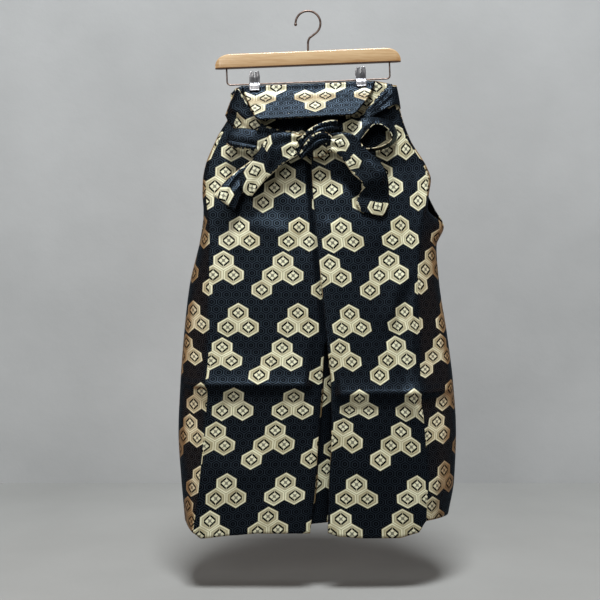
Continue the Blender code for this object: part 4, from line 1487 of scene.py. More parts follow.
@dataclass
class Band:
    """A band of doubled cloth through pairs of edge points, crowned across and folded along."""

    name: str
    node: str
    ribs: Sequence[Sequence[float]]
    outside: Triple
    patches: Sequence[Patch]
    crown: float = 1.6
    folds: Sequence[Fold] = ()
    gathers: Sequence[Gather] = ()
    gold_edges: Tuple[bool, bool] = (False, False)
    columns: int = 18
    steps: int = 7
    seed: float = 0.0
    crumple: float = 2.2
    crumple_height: float = 0.6

    def _flat_grid(self) -> Grid:
        """Points of the band before it is crowned and folded."""
        shares = [c / self.columns for c in range(self.columns + 1)]
        return [[a.lerp(b, share) for share in shares] for a, b in edge_pairs(self.ribs, self.steps)]

    def _directions(self, points: Grid, r: int, c: int) -> Tuple[Vector, Vector]:
        """The ways along the band and across it, at a point of a grid."""
        ahead = points[min(r + 1, len(points) - 1)][c] - points[max(r - 1, 0)][c]
        return ahead, points[r][min(c + 1, self.columns)] - points[r][max(c - 1, 0)]

    def _normal(self, flat: Grid, r: int, c: int) -> Vector:
        """One of the two directions square to the flat grid at a point."""
        ahead, across = self._directions(flat, r, c)
        return ahead.cross(across).normalized()

    def grid(self) -> Tuple[Grid, List[List[Point]]]:
        """The band's points, and the place of each along and across the band."""
        flat = self._flat_grid()
        middle = self.columns // 2
        run = arc_lengths([row[middle] for row in flat])
        sign = 1.0 if self._normal(flat, 1, middle).dot(Vector(self.outside)) > 0 else -1.0
        points, places = [], []
        for r, row in enumerate(flat):
            width = (row[-1] - row[0]).length
            made, placed = [], []
            for c, point in enumerate(row):
                share = c / self.columns
                w = (share - 0.5) * width
                rise = self.crown / 1000 * (1.0 - (2 * share - 1) ** 2)
                rise += sum(fold.rise(run[r], w) for fold in self.folds)
                rise += sum(gather.rise(share, run[r], run[-1], self.seed) for gather in self.gathers)
                place = run[r] * self.crumple + self.seed, w * self.crumple
                rise += ruffle(*place, self.seed) * self.crumple_height
                made.append(point + self._normal(flat, r, c) * sign * rise)
                placed.append((run[r], w))
            points.append(made)
            places.append(placed)
        return points, places

    def _weave_of(self, patch: Patch, rows: range, points: Grid, places: List[List[Point]]) -> Weave:
        """Weave of one patch.

        Args:
            patch: the patch.
            rows: the band's rows that it counts for.
            points: the band's points.
            places: their places along and across.

        Returns:
            A function from a point's row and column to the weave's place.
        """
        def away(cell: Tuple[int, int]) -> float:
            """Distance of a point from the flower as seen from the back, squared."""
            point = points[cell[0]][cell[1]]
            return (1000 * point.x - patch.at[0]) ** 2 + (1000 * point.z - patch.at[1]) ** 2

        r, c = min(((r, c) for r in rows for c in range(self.columns + 1)), key=away)
        ahead, across = (way.normalized() for way in self._directions(points, r, c))
        turn = math.radians(patch.turned)
        chart_across = Vector((math.cos(turn), 0.0, -math.sin(turn)))
        chart_down = Vector((-math.sin(turn), 0.0, -math.cos(turn)))
        s0, w0 = places[r][c]

        def place(i: int, j: int) -> Point:
            """Weave's place at a point."""
            s, w = places[i][j]
            moved = ahead * (s - s0) + across * (w - w0)
            return (
                moved.dot(chart_across) / patch.scale + patch.flower[0] * CHART_UNIT,
                moved.dot(chart_down) / patch.scale + patch.flower[1] * CHART_UNIT,
            )

        return place

    def build(self, palette: Palette) -> None:
        """Make the band.

        Args:
            palette: the finishes.
        """
        points, places = self.grid()
        starts = [int(patch.start * (len(points) - 1)) for patch in self.patches] + [len(points)]
        weaves, bares = [], []
        for patch, first, after in zip(self.patches, starts, starts[1:]):
            weaves += [self._weave_of(patch, range(first, after), points, places)] * (after - first)
            bares += [patch.bare] * (after - first)

        def gold(r: int, c: int) -> float:
            """Distance from the nearer gold selvedge."""
            width = (points[r][-1] - points[r][0]).length
            shares = zip(self.gold_edges, (c / self.columns, 1 - c / self.columns))
            return min([1.0] + [width * share for is_gold, share in shares if is_gold])

        outside = Vector(self.outside)
        made = Cloth(
            self.name, points, lambda r, c: weaves[r], outside, BAND_CLOTH, gold, lambda r, c: bares[r],
        ).build(palette)
        settle(made, "brocade", self.node)
        declare(self._cut(points))

    def _cut(self, points: Grid) -> Cut:
        """The flat size of what shows, with its crown and pleats laid out."""
        across = [arc_lengths(row)[-1] for row in points]
        down = [arc_lengths(column)[-1] for column in zip(*points)]
        width, length = sum(across) / len(across), sum(down) / len(down)
        return Cut(round(width, 3), round(length, 3), Held.FOLDED, ("back_board",))


FAR, NEAR = (0.0, 1.0, 0.0), (0.0, -1.0, 0.0)

# Ribs across each band, from end to end: its upper edge's place, then its lower edge's.
TIE_LEFT = (
    (-128.4, 11.2, -153.5, -128.4, 11.2, -202),
    (-140, 10.5, -155, -154, 10.5, -209),
    (-143, 6, -156, -166, 7, -211),
    (-144.5, -5.5, -157, -169, -1, -212),
    (-143.5, -13.5, -159, -166.5, -7, -218),
    (-138.5, -19, -165, -160, -11, -231),
    (-126.5, -21.5, -188, -144, -15, -244),
    (-103, -29, -220, -120, -24, -256),
    (-85, -30, -238, -98, -28.5, -264),
    (-11.5, -31.5, -260, -11.5, -31.5, -290),
)
TIE_RIGHT = (
    (136.4, 11.2, -143, 136.4, 11.2, -192),
    (162, 10.5, -145, 168, 10.5, -196),
    (176, 7, -148, 185, 7, -198),
    (180, -3.5, -151, 189, -1, -198),
    (178, -8, -153, 185, -13, -194),
    (164, -11, -155, 174, -24, -195),
    (143, -15, -174, 152, -30, -207),
    (121, -19, -200, 126, -25, -221),
    (92, -25, -230, 92, -28, -248),
    (37.1, -31, -254, 37.1, -31, -278),
)
WAISTBAND = (
    (-128, 11.2, -152.5, -128, 11.2, -201),
    (-64, 11.2, -150.2, -64, 11.2, -198.5),
    (0, 11.2, -147.8, 0, 11.2, -196),
    (68, 11.2, -144.9, 68, 11.2, -193.5),
    (136, 11.2, -142, 136, 11.2, -191),
)
LOOP_LEFT = (
    (-11.5, -48, -258, -11.5, -48, -290),
    (-40, -48, -252, -40, -48, -298),
    (-75, -48, -254, -75, -44, -300),
    (-97, -46, -252, -97, -44, -295),
    (-122, -41, -246.5, -122, -48, -290),
    (-144, -36, -245.5, -145, -47, -287),
    (-158, -31, -250, -162, -40, -279),
    (-150, -28, -253, -148, -32, -280),
    (-125, -32, -255, -123, -34, -285),
    (-97, -38.5, -257, -97, -39, -293),
    (-70, -40.8, -256, -70, -40.8, -298),
    (-11.5, -41, -260, -11.5, -41, -290),
)
LOOP_RIGHT = (
    (52, -36, -230.4, 51.6, -47, -264.5),
    (76.2, -34, -226, 73.5, -48, -271.7),
    (100.5, -32, -223.6, 97.4, -50, -275),
    (123, -27, -220.6, 115, -55, -258),
    (145.7, -22, -221.6, 128.7, -58, -242.6),
    (166.2, -20, -229.3, 144.5, -59, -241.8),
    (178.4, -20, -245.6, 158.4, -59, -250.7),
    (178.3, -21, -264, 166.4, -58, -264.5),
    (165.9, -23, -278.5, 160.8, -55, -275.9),
    (141.1, -28, -287.4, 139.3, -50, -285),
    (108.4, -34, -290.4, 107.6, -46, -286.3),
    (52, -37, -283, 52, -44, -278),
)
TAIL_LEFT = (
    (-11.5, -56, -262, -11.5, -55, -297),
    (-43, -60, -257, -24.5, -59, -305.5),
    (-77, -62, -264, -48.7, -61, -320),
    (-101, -62.5, -299, -68.9, -63, -338),
    (-125.5, -62, -333, -89.1, -63, -357),
    (-135.6, -62, -360, -103.3, -63, -374),
    (-125.5, -60, -382, -111.3, -61, -384),
)
TAIL_UNDER = (
    (-11.5, -36.2, -270, -11.5, -36.2, -296),
    (-80, -37, -290, -60, -37, -325),
    (-137.6, -45, -328, -115, -46, -355),
    (-166, -56, -356, -131.5, -56, -378),
    (-188, -67, -384, -145.7, -66, -414),
)
TAIL_RIGHT = (
    (37.1, -54.5, -258, 37.1, -54.5, -294),
    (84.6, -55, -259, 60, -55, -301.5),
    (112.9, -56, -287, 74.5, -56, -319.7),
    (141, -58, -313.7, 88.6, -58, -340),
    (157, -60, -344, 108.8, -60, -360),
    (161.4, -48, -382, 100.8, -48, -382),
    (160, -49, -406.5, 96, -49, -396.5),
    (148, -49, -422.5, 107, -49, -415),
)
# The pleats that wrap the knot, each along its middle line: place, then half its width.
KNOT_PLEATS = (
    (
        (59, -55, -237, 5), (41, -58.5, -240, 6.2), (20, -60.5, -248, 6.2),
        (0, -61.2, -260, 5.6), (-16.4, -60, -279, 4.2), (-24.3, -57.5, -298.9, 2.2),
    ),
    (
        (60, -56, -248, 3.5), (40, -61, -252, 5.6), (20, -63.5, -259, 6),
        (3, -64, -270, 5.4), (-11, -62.5, -285, 4.4), (-20.4, -59.5, -302.8, 2.4),
    ),
    (
        (47, -59, -268, 2), (32, -64.5, -264, 6.2), (16, -66.5, -268, 7.2),
        (3, -66, -279, 6.4), (-8.5, -64, -293, 4.6), (-18.4, -61.5, -306.8, 2),
    ),
    (
        (45, -60, -274, 1.4), (33, -64, -275, 4.2), (20, -66, -280, 5),
        (7, -66, -289, 4.6), (-5, -64.5, -300, 3.6), (-14.4, -63, -309, 1.8),
    ),
)
SHINGLE = 2.0  # how far a pleat's upper edge stands out over its middle line


def pleat_ribs(rows: Sequence[Sequence[float]]) -> List[Tuple[float, ...]]:
    """Edge points of a pleat from its middle line, its upper edge standing out over the pleat above."""
    made = []
    last = len(rows) - 1
    for i, (x, y, z, half) in enumerate(rows):
        before, after = rows[max(i - 1, 0)], rows[min(i + 1, last)]
        ahead = Vector((after[0] - before[0], after[2] - before[2])).normalized()
        over = (ahead.y * half, -ahead.x * half)
        made.append((x + over[0], y - SHINGLE, z + over[1], x - over[0], y + SHINGLE, z - over[1]))
    return made


class Ties:
    """The waistband on the far side and the two ties that come round from it to the bow."""

    BANDS = (
        Band(
            "cloth_waistband", "front_waistband", WAISTBAND, FAR, (Patch(0.0, (10, -172), FOUR_RIGHT),),
            crown=0.5, gold_edges=(False, True), steps=12,
        ),
        Band(
            "cloth_tie_left", "tie_left", TIE_LEFT, FAR,
            (
                Patch(0.0, (-150, -180)), plain(0.44, (-150, -190)),
                Patch(0.62, (-108.6, -236.6), FLOWER_LEFT, 194.0), plain(0.86, (-50, -270)),
            ),
            gold_edges=(True, False),
            folds=(
                Fold(((40, 14), (70, 2), (105, -8)), 3.6, 3, 10),
                Fold(((70, 16), (110, 12), (150, 10)), -2.2, 5, 5),
            ),
            seed=1.3,
        ),
        Band(
            "cloth_tie_right", "tie_right", TIE_RIGHT, FAR,
            (Patch(0.0, (160, -172)), plain(0.22, (160, -172))),
            crown=0.8, gold_edges=(True, False),
            folds=(
                Fold(((75, -10), (100, -4), (140, 2)), -5, 3, 5),
                Fold(((70, -3), (100, 3), (135, 7)), 3, 3, 10),
            ),
            seed=2.1,
        ),
    )

    def build(self, palette: Palette) -> None:
        """Make the three bands."""
        for band in self.BANDS:
            band.build(palette)


class Bow:
    """The bow in the middle of the back: two loops and three tails, the knot, and the pleats that wrap it."""

    BANDS = (
        Band(
            "cloth_tail_under", "bow_tail_under", TAIL_UNDER, NEAR,
            (plain(0.0, (-50, -300)), Patch(0.62, (-167.6, -383), FOUR_LOW, 150.0)),
            gold_edges=(True, False),
            folds=(
                Fold(((120, -12), (165, -10), (215, -2)), 3.4, 4, 10),
                Fold(((140, 8), (180, 6), (215, 10)), 2.8, 6, 5),
            ),
            seed=3.2,
        ),
        Band(
            "cloth_loop_left", "bow_loop_left", LOOP_LEFT, NEAR,
            (
                Patch(0.0, (-26.4, -258.7), FOUR_LOW, 184.0),
                Patch(0.11, (-83.5, -285), FOUR_LOW, 186.0), plain(0.30, (-150, -270)),
            ),
            crown=3.4, gold_edges=(False, True),
            gathers=(Gather(2.5, 2, 35), Gather(2.5, 1.6, 35, at_start=False)),
            folds=(
                Fold(((80, 10), (120, 10), (160, 6)), -3.4, 3, 4),
                Fold(((85, 16), (125, 16), (160, 11)), 2.6, 3, 3),
            ),
            seed=0.7,
        ),
        Band(
            "cloth_loop_right", "bow_loop_right", LOOP_RIGHT, NEAR,
            (Patch(0.0, (87.4, -245.1), FOUR_LOW, 176.0, 0.95), plain(0.27, (150, -240))),
            crown=1.4, gold_edges=(False, True),
            gathers=(Gather(2.0, 1.8, 24), Gather(2.0, 1.6, 24, at_start=False)),
            folds=(
                Fold(((60, 10), (95, 12), (150, 12)), 3, 3, 3),
                Fold(((70, 4), (100, 5), (140, 6)), -2.6, 3, 3),
            ),
            seed=4.4,
        ),
        Band(
            "cloth_tail_left", "bow_tail_left", TAIL_LEFT, NEAR,
            (Patch(0.0, (-32.3, -297.6), FOUR_LOW, -6.0), Patch(0.45, (-106.8, -336), turned=-19.0)),
            gold_edges=(False, True), gathers=(Gather(2.5, 2.2, 40),),
            folds=(
                Fold(((62, -20), (78, -4), (88, 16)), 4.4, 10, 3),
                Fold(((110, 4), (135, 8), (165, 4)), -2, 8, 6),
            ),
            seed=5.1,
        ),
        Band(
            "cloth_tail_right", "bow_tail_right", TAIL_RIGHT, NEAR,
            (
                Patch(0.0, (65.2, -277.9), FOUR_LOW, 196.0, 0.92),
                Patch(0.27, (85.1, -317.7), FLOWER_RIGHT, 16.0), plain(0.50, (140, -350)),
                Patch(0.80, (140.1, -404.3), FOUR_LOW, 150.0),
            ),
            gold_edges=(False, True), gathers=(Gather(2.5, 2.2, 36),),
            folds=(
                Fold(((60, 0), (78, 4), (95, 12)), 2.6, 10, 4),
                Fold(((85, -12), (120, -14), (160, -10)), 3.4, 10, 4),
                Fold(((140, 20), (150, 0), (152, -20)), -3, 6, 10),
            ),
            seed=6.3,
        ),
    )

    def build(self, palette: Palette) -> None:
        """Make the loops and tails from the back to the front, then the knot and its pleats.

        Args:
            palette: the finishes.
        """
        for band in self.BANDS:
            band.build(palette)
        Knot().build(palette)
        for number, rows in enumerate(KNOT_PLEATS, 1):
            Band(
                f"cloth_knot_pleat_{number}", "bow_knot", pleat_ribs(rows), NEAR,
                (plain(0.0, (15, -274)),), crown=2.4, gold_edges=(number % 2 == 1, False),
                columns=12, steps=9, seed=0.4 + number,
            ).build(palette)


@dataclass
class Knot:
    """The body of the knot, a soft lump with folds arched over it."""

    middle: Triple = (0.0150, -0.0445, -0.2790)
    half: Triple = (0.0270, 0.0140, 0.0275)
    square: float = 2.6
    turns: int = 64
    rings: int = 40
    flower_at: Point = (0.0332, -0.3020)
    drawn_back: float = 0.2  # how much faster the weave runs towards the far side
    folds: Tuple[Fold, ...] = (
        Fold(((-12, -300), (0, -268), (20, -258), (40, -266)), 3, 3, 5, 2.0),
        Fold(((-6, -304), (6, -280), (22, -273), (38, -280)), 2.4, 2.6, 4, 2.0),
        Fold(((0, -292), (18, -286), (36, -296)), -5, 4, 5, 2.0),
        Fold(((10, -306), (26, -299), (42, -303)), 2.4, 4, 5, 2.0),
    )

    def _point(self, around: float, down: float) -> Vector:
        """A point of the lump, from its two angles."""
        ring = math.sin(down)
        way = Vector((math.cos(around) * ring, math.sin(around) * ring, math.cos(down)))
        size = sum(abs(part) ** self.square for part in way) ** (-1 / self.square)
        base = Vector(part * size * half for part, half in zip(way, self.half))
        place = Vector(self.middle) + base
        near = self.middle[1] - place.y
        rise = sum(fold.rise(place.x, place.z) for fold in self.folds) if near > 0 else 0.0
        return place + base.normalized() * (rise * smooth(near / 0.010))

    def build(self, palette: Palette) -> None:
        """Make the lump.

        Args:
            palette: the finishes.
        """
        builder = bmesh.new()
        weave_layer, edge_layer = brocade_layers(builder)
        rings = []
        for r in range(1, self.rings):
            down = math.pi * r / self.rings
            ring = [self._point(2 * math.pi * c / self.turns, down) for c in range(self.turns)]
            rings.append([builder.verts.new(place) for place in ring])
        skin(builder, rings)
        for face in builder.faces:
            for loop in face.loops:
                place = loop.vert.co
                side = abs(place.x - self.middle[0]) + abs(place.y - self.middle[1])
                across = place.x - self.flower_at[0] + side * self.drawn_back
                down = self.flower_at[1] - place.z
                loop[weave_layer].uv = across + FOUR_TOP[0] * CHART_UNIT, down + FOUR_TOP[1] * CHART_UNIT
                loop[edge_layer].uv = 1.0, 0.0
        made = mesh_object(finish_mesh(builder, "cloth_knot"), palette.brocade)
        settle(made, "brocade", "bow_knot")


# ---------------------------------------------------------------- the back board
# Ribs down the board, from its fold at the top: its left end's place, then its right end's.
BOARD = (
    (-137, -10.5, -154.1, 138, -10.5, -143.6),
    (-133, -12.2, -165.6, 134.5, -12.2, -155.1),
    (-129.5, -15.8, -174, 130.5, -15.8, -163.5),
    (-125, -22.5, -184, 126.2, -22.5, -173.5),
    (-119, -34.8, -197.9, 117.9, -34.8, -187.4),
    (-116, -39.8, -204.3, 113.8, -39.8, -193.8),
    (-112, -46.8, -213.3, 107.5, -46.8, -202.8),
    (-106, -57.4, -226.6, 97, -57.4, -216.3),
    (-98.5, -62.8, -233.2, 87.1, -62.8, -223.3),
)


@dataclass
class Board:
    """The stiffened back board, turned down: cloth all round a stiff card, thin and rounded at its edges."""

    columns: int = 72
    steps: int = 5
    thickness: float = 0.0040
    round_off: float = 0.0030
    flower_at: Point = (0.0141, -0.2027)
    scale: float = 1.022
    rim: float = 0.0195  # from the flower down to where the cloth has none
    crowd: float = 0.35  # how far the columns crowd towards the ends
    waves: Tuple[Fold, ...] = (
        Fold(((-125, -186), (-40, -190), (50, -182), (122, -176)), 0.7, 12, 12),
        Fold(((-75, -226), (-60, -200), (-66, -170)), -0.6, 14, 14),
        Fold(((80, -214), (66, -190), (74, -160)), 0.6, 14, 16),
    )

    def _rows(self) -> List[Tuple[Vector, Vector, Vector]]:
        """The board's middle sheet from its top down: both ends of each row, and the way out of it."""
        pairs = edge_pairs(BOARD, self.steps)
        middle = [a.lerp(b, 0.5) for a, b in pairs]
        made = []
        for r, (a, b) in enumerate(pairs):
            before, after = middle[max(r - 1, 0)], middle[min(r + 1, len(middle) - 1)]
            outward = (b - a).cross(after - before).normalized()
            if outward.y > 0:
                outward.negate()
            made.append((a, b, outward))
        return made

    def _edge(self, away: float) -> float:
        """Share of the full thickness at a distance from an edge."""
        t = min(away / self.round_off, 1.0)
        return math.sqrt(max(0.0, 1.0 - (1.0 - t) ** 2))

    def build(self, palette: Palette) -> None:
        """Make the board.

        Args:
            palette: the finishes.
        """
        rows = self._rows()
        middle = [a.lerp(b, 0.5) for a, b, _ in rows]
        down = arc_lengths(middle)
        length = down[-1]
        flower_down = down[min(range(len(rows)), key=lambda r: abs(middle[r].z - self.flower_at[1]))]
        builder = bmesh.new()
        weave_layer, edge_layer = brocade_layers(builder)
        loops, places = [], []
        order = list(range(len(rows)))
        for side, r in [(1.0, r) for r in order] + [(-1.0, r) for r in reversed(order)]:
            a, b, outward = rows[r]
            width = (b - a).length
            end = self._edge(min(down[r], length - down[r]))
            run = down[r] if side > 0 else 2 * length + self.thickness - down[r]
            row, placed = [], []
            for c in range(self.columns + 1):
                crowded = 0.5 - 0.5 * math.cos(math.pi * c / self.columns)
                share = lerp(c / self.columns, crowded, self.crowd)
                point = a.lerp(b, share)
                thick = self.thickness / 2 * end * self._edge(width * min(share, 1 - share))
                wave = sum(fold.rise(point.x, point.z) for fold in self.waves)
                row.append(builder.verts.new(point + outward * (side * thick + wave)))
                placed.append((
                    -(point.x - self.flower_at[0]) / self.scale + FOUR_TOP[0] * CHART_UNIT,
                    -(run - flower_down) / self.scale + FOUR_TOP[1] * CHART_UNIT,
                ))
            loops.append(row)
            places.append(placed)
        for r in range(len(loops)):
            q = (r + 1) % len(loops)
            low = r < len(rows) and down[r] > flower_down + self.rim
            for c in range(self.columns):
                corners = ((r, c), (q, c), (q, c + 1), (r, c + 1))
                face = builder.faces.new([loops[i][j] for i, j in corners])
                for loop, (i, j) in zip(face.loops, corners):
                    loop[weave_layer].uv = places[i][j]
                    loop[edge_layer].uv = (1.0, float(low))
        bmesh.ops.remove_doubles(builder, verts=builder.verts, dist=0.00002)
        made = mesh_object(finish_mesh(builder, "cloth_board"), palette.brocade)
        settle(made, "brocade", "back_board")


# ---------------------------------------------------------------- the hanger
def hanger_frame() -> Matrix:
    """The tilt of the bar, its wire and its clips."""
    return Matrix.Translation((0.0, 0.0, BAR_FOOT_Z)) @ Matrix.Rotation(-TILT, 4, "Y")


def upright(points: Sequence[Point]) -> List[Vector]:
    """Points of an outline in the hanger's own plane, across and up."""
    return [Vector((x, 0.0, z)) for x, z in points]


def tube(
    name: str, path: Sequence[Vector], radii: Sequence[float], finish: Material, sides: int = 20,
) -> Object:
    """A closed round tube along a path.

    Args:
        name: its name.
        path: its middle line.
        radii: its radius at each point.
        finish: its material.
        sides: how many sides its section has.

    Returns:
        The tube's object.
    """
    builder = bmesh.new()
    angles = [2 * math.pi * k / sides for k in range(sides)]
    rings = []
    lean = Vector((0.0, 1.0, 0.0))
    for i, (point, radius) in enumerate(zip(path, radii)):
        ahead = (path[min(i + 1, len(path) - 1)] - path[max(i - 1, 0)]).normalized()
        lean = (lean - ahead * lean.dot(ahead)).normalized()
        over = ahead.cross(lean)
        ring = [point + (lean * math.cos(a) + over * math.sin(a)) * radius for a in angles]
        rings.append([builder.verts.new(place) for place in ring])
    skin(builder, rings)
    return mesh_object(finish_mesh(builder, name), finish)


@dataclass
class Bar:
    """The wooden bar: a straight underside, a crowned top and rounded shoulders."""

    shoulder: Tuple[float, float] = (0.034, 0.024)
    corner: float = 0.0034
    foot: float = 0.0012
    stations: int = 90
    end_thickness: float = 0.62
    end_run: float = 0.010

    def _section(self, height: float) -> List[Tuple[float, float, bool]]:
        """Outline of the bar across its length, as y, z and whether it is underside."""
        half, top, foot = BAR_THICK / 2, max(height, 0.003), self.foot
        r = min(self.corner, top / 2.2)
        upper = arc((-half + r, top - r), r, 180, -90, 6) + arc((half - r, top - r), r, 90, -90, 6)
        lower = arc((half - foot, foot), foot, 0, -90, 3) + arc((-half + foot, foot), foot, 270, -90, 3)
        return [(y, z, False) for y, z in upper] + [(y, z, True) for y, z in lower]

    def _top(self, away: float) -> float:
        """Height of the bar at a distance from its end."""
        run, drop = self.shoulder
        share = max(1.0 - away / run, 0.0)
        return BAR_HEIGHT - drop * (1.0 - math.sqrt(1.0 - share**2.2))

    def build(self, palette: Palette) -> None:
        """Make the bar.

        Args:
            palette: the finishes.
        """
        half, tilted = BAR_LENGTH / 2, hanger_frame()
        builder = bmesh.new()
        rings = []
        for i in range(self.stations + 1):
            x = -half * math.cos(math.pi * i / self.stations)
            away = half - abs(x)
            thin = lerp(self.end_thickness, 1.0, smooth(away / self.end_run))
            section = self._section(self._top(away))
            places = [Vector((x, y * thin, z + SEAM_GAP / 2)) for y, z, _ in section]
            rings.append([builder.verts.new(tilted @ place) for place in places])
        skin(builder, rings)
        # The underside faces take the darker maple copy, as painted shade.
        under = {vert for ring in rings for vert, (_, _, low) in zip(ring, section) if low}
        for face in builder.faces:
            face.material_index = int(len(face.verts) == 4 and under.issuperset(face.verts))
        mesh = finish_mesh(builder, "wooden_bar")
        mesh.set_sharp_from_angle(angle=math.radians(40))
        settle(mesh_object(mesh, palette.maple, palette.maple_painted_underside_shade), "maple", "hanger_bar")


@dataclass
class Hook:
    """The hook of the hanger, with a small ball at its tip."""

    wire: float = 0.0044
    radius: float = 0.0255
    tip_angle: float = 184.0
    end_angle: float = -50.0
    ball: float = 0.0031
    ball_drop: float = 0.0006
    ball_pole: float = 0.00005
    ball_steps: int = 14
    stem: Tuple[Point, ...] = (
        (0.0085, -0.0490), (0.0030, -0.0535), (0.0004, -0.0600), (0.0, -0.0660), (0.0, -0.0800),
    )

    def build(self, palette: Palette) -> None:
        """Make the hook and its ball tip.

        Args:
            palette: the finishes.
        """
        turn = self.end_angle - self.tip_angle
        ring = arc((0.0, self.wire / 2 - self.radius), self.radius, self.tip_angle, turn, 44)
        path = upright(ring[:-1]) + through(upright([ring[-1], *self.stem]), 7)
        settle(tube("hook", path, [self.wire / 2] * len(path), palette.wire), "steel", "hanger_hook")
        angles = [math.pi * i / self.ball_steps for i in range(self.ball_steps + 1)]
        tip_x, tip_z = ring[0][0], ring[0][1] - self.ball_drop
        line = upright([(tip_x, tip_z - self.ball * math.cos(a)) for a in angles])
        radii = [max(self.ball * math.sin(a), self.ball_pole) for a in angles]
        settle(tube("hook_tip", line, radii, palette.wire), "steel", "hanger_hook")


@dataclass
class WireFrame:
    """The wire under the bar, with the rod that carries the clips."""

    corner: float = 0.007
    sag: float = 0.0005
    upright_at: Triple = (0.0005, -0.008, -0.018)

    def build(self, palette: Palette) -> None:
        """Make the wire.

        Args:
            palette: the finishes.
        """
        half, corner = WIRE_SPAN / 2, self.corner
        right = [(half, z) for z in self.upright_at]
        right += arc((half - corner, -WIRE_DROP + corner), corner, 0, -90, 10)
        right += [(half * t, -WIRE_DROP - self.sag * (1 - t * t)) for t in (0.8, 0.6, 0.4, 0.2, 0.0)]
        left = [(-x, z) for x, z in reversed(right[:-1])]
        path = [hanger_frame() @ point for point in upright(right + left)]
        settle(tube("wire_frame", path, [WIRE / 2] * len(path), palette.wire), "steel", "hanger_wire")


@dataclass
class Clip:
    """A sprung clip: two plates with rolled sides and curled lips, and the coil between them."""

    side: str
    at: float
    width: float = 0.020
    plate: float = 0.0013
    flange: float = 0.0026
    groove: float = 0.0005
    groove_at: Point = (0.24, 0.05)  # its place and its reach, as shares of the width
    lip: float = 0.0016
    lip_turn: Point = (-0.0145, 0.002)  # where it starts, and the drop over which it turns out
    bevel: float = 0.0003
    slot_above: float = 0.0115
    body: Point = (0.0225, -0.0115)  # the rolled part, from its top down
    # How much narrower the plate gets, from what height on, and over how much of it.
    narrow_up: Triple = (0.10, 0.016, 0.008)
    narrow_down: Triple = (0.06, -0.010, 0.006)
    arm: Tuple[Point, ...] = ((0.0098, 0.0240), (0.0085, 0.0120), (0.0062, 0.0035), (0.0062, -0.0005))
    near_lip: Tuple[Point, ...] = ((0.0144, -0.0046), (0.0156, -0.0165))
    far_lip: Tuple[Point, ...] = ((0.0134, -0.0036), (0.0134, -0.0165))
    # Columns from the middle of a plate to its side, as shares of its width. The last is the rolled flange.
    columns: Tuple[float, ...] = (0.075, 0.12, 0.24, 0.36, 0.47, 0.5, 0.5)
    coil: Triple = (0.0146, 0.0041, 0.00062)
    turns: int = 11
    steps: int = 18

    def _frame(self) -> Matrix:
        """The place of the clip on the rod."""
        return hanger_frame() @ Matrix.Translation((self.at, 0.0, -WIRE_DROP))

    def _plate(self, which: str, lips: Tuple[Point, ...], sign: float, palette: Palette) -> None:
        """Make one plate.

        Args:
            which: near or far.
            lips: its last two points, out from the rod and above it.
            sign: -1 on the side of the garment's back.
            palette: the finishes.
        """
        on_rod = self._frame()
        line = through([Vector((0.0, y, z)) for y, z in self.arm + lips], 8)
        across = [-share for share in reversed(self.columns)] + [0.0, *self.columns]
        last, middle = len(across) - 1, len(self.columns)
        (up, up_from, up_over), (down, down_from, down_over) = self.narrow_up, self.narrow_down
        groove_at, reach = self.groove_at
        builder = bmesh.new()
        rows = []
        for r, point in enumerate(line):
            ahead = (line[min(r + 1, len(line) - 1)] - line[max(r - 1, 0)]).normalized()
            outward = Vector((0.0, -ahead.z, ahead.y))
            if outward.y < 0:
                outward.negate()
            body = smooth((self.body[0] - point.z) / 0.004) * smooth((point.z - self.body[1]) / 0.005)
            taper = 1.0 - up * smooth((point.z - up_from) / up_over)
            taper -= down * smooth((down_from - point.z) / down_over)
            curl = self.lip * smooth((self.lip_turn[0] - point.z) / self.lip_turn[1])
            row = []
            for c, share in enumerate(across):
                is_flange = c in (0, last) and body > 0
                groove = self.groove * math.exp(-((abs(share) - groove_at) / reach) ** 2)
                place = point + outward * (curl - body * (self.flange if is_flange else groove))
                place = Vector((share * self.width * taper, sign * place.y, place.z))
                row.append(builder.verts.new(on_rod @ place))
            rows.append(row)
        for r in range(len(rows) - 1):
            is_slotted = line[r + 1].z > self.slot_above
            for c in range(last):
                if not (is_slotted and c in (middle - 1, middle)):
                    builder.faces.new((rows[r][c], rows[r + 1][c], rows[r + 1][c + 1], rows[r][c + 1]))
        made = mesh_object(finish_mesh(builder, f"clip_plate_{self.side}_{which}"), palette.steel)
        thicken(made, self.plate)
        bevel = made.modifiers.new("edges", "BEVEL")
        bevel.width = self.bevel
        bevel.segments = 2
        bevel.limit_method = "ANGLE"
        settle(made, "steel", f"clip_{self.side}_{which}")

    def _coil(self, palette: Palette) -> None:
        """Make the spring's coil round the rod."""
        length, radius, wire = self.coil
        count = self.turns * self.steps
        path = []
        for i in range(count + 1):
            a = 2 * math.pi * i / self.steps
            place = Vector((length * (i / count - 0.5), radius * math.cos(a), radius * math.sin(a)))
            path.append(self._frame() @ place)
        made = tube(f"clip_coil_{self.side}", path, [wire] * len(path), palette.steel)
        settle(made, "steel", f"clip_{self.side}_barrel")

    def build(self, palette: Palette) -> None:
        """Make both plates and the coil.

        Args:
            palette: the finishes.
        """
        self._plate("near", self.near_lip, -1.0, palette)
        self._plate("far", self.far_lip, 1.0, palette)
        self._coil(palette)


class Hanger:
    """The wooden hanger with its wire frame and two clips."""

    PARTS = (Bar(), Hook(), WireFrame(), Clip("left", -0.1105), Clip("right", 0.1068))

    def build(self, palette: Palette) -> None:
        """Make every part of the hanger."""
        for part in self.PARTS:
            part.build(palette)


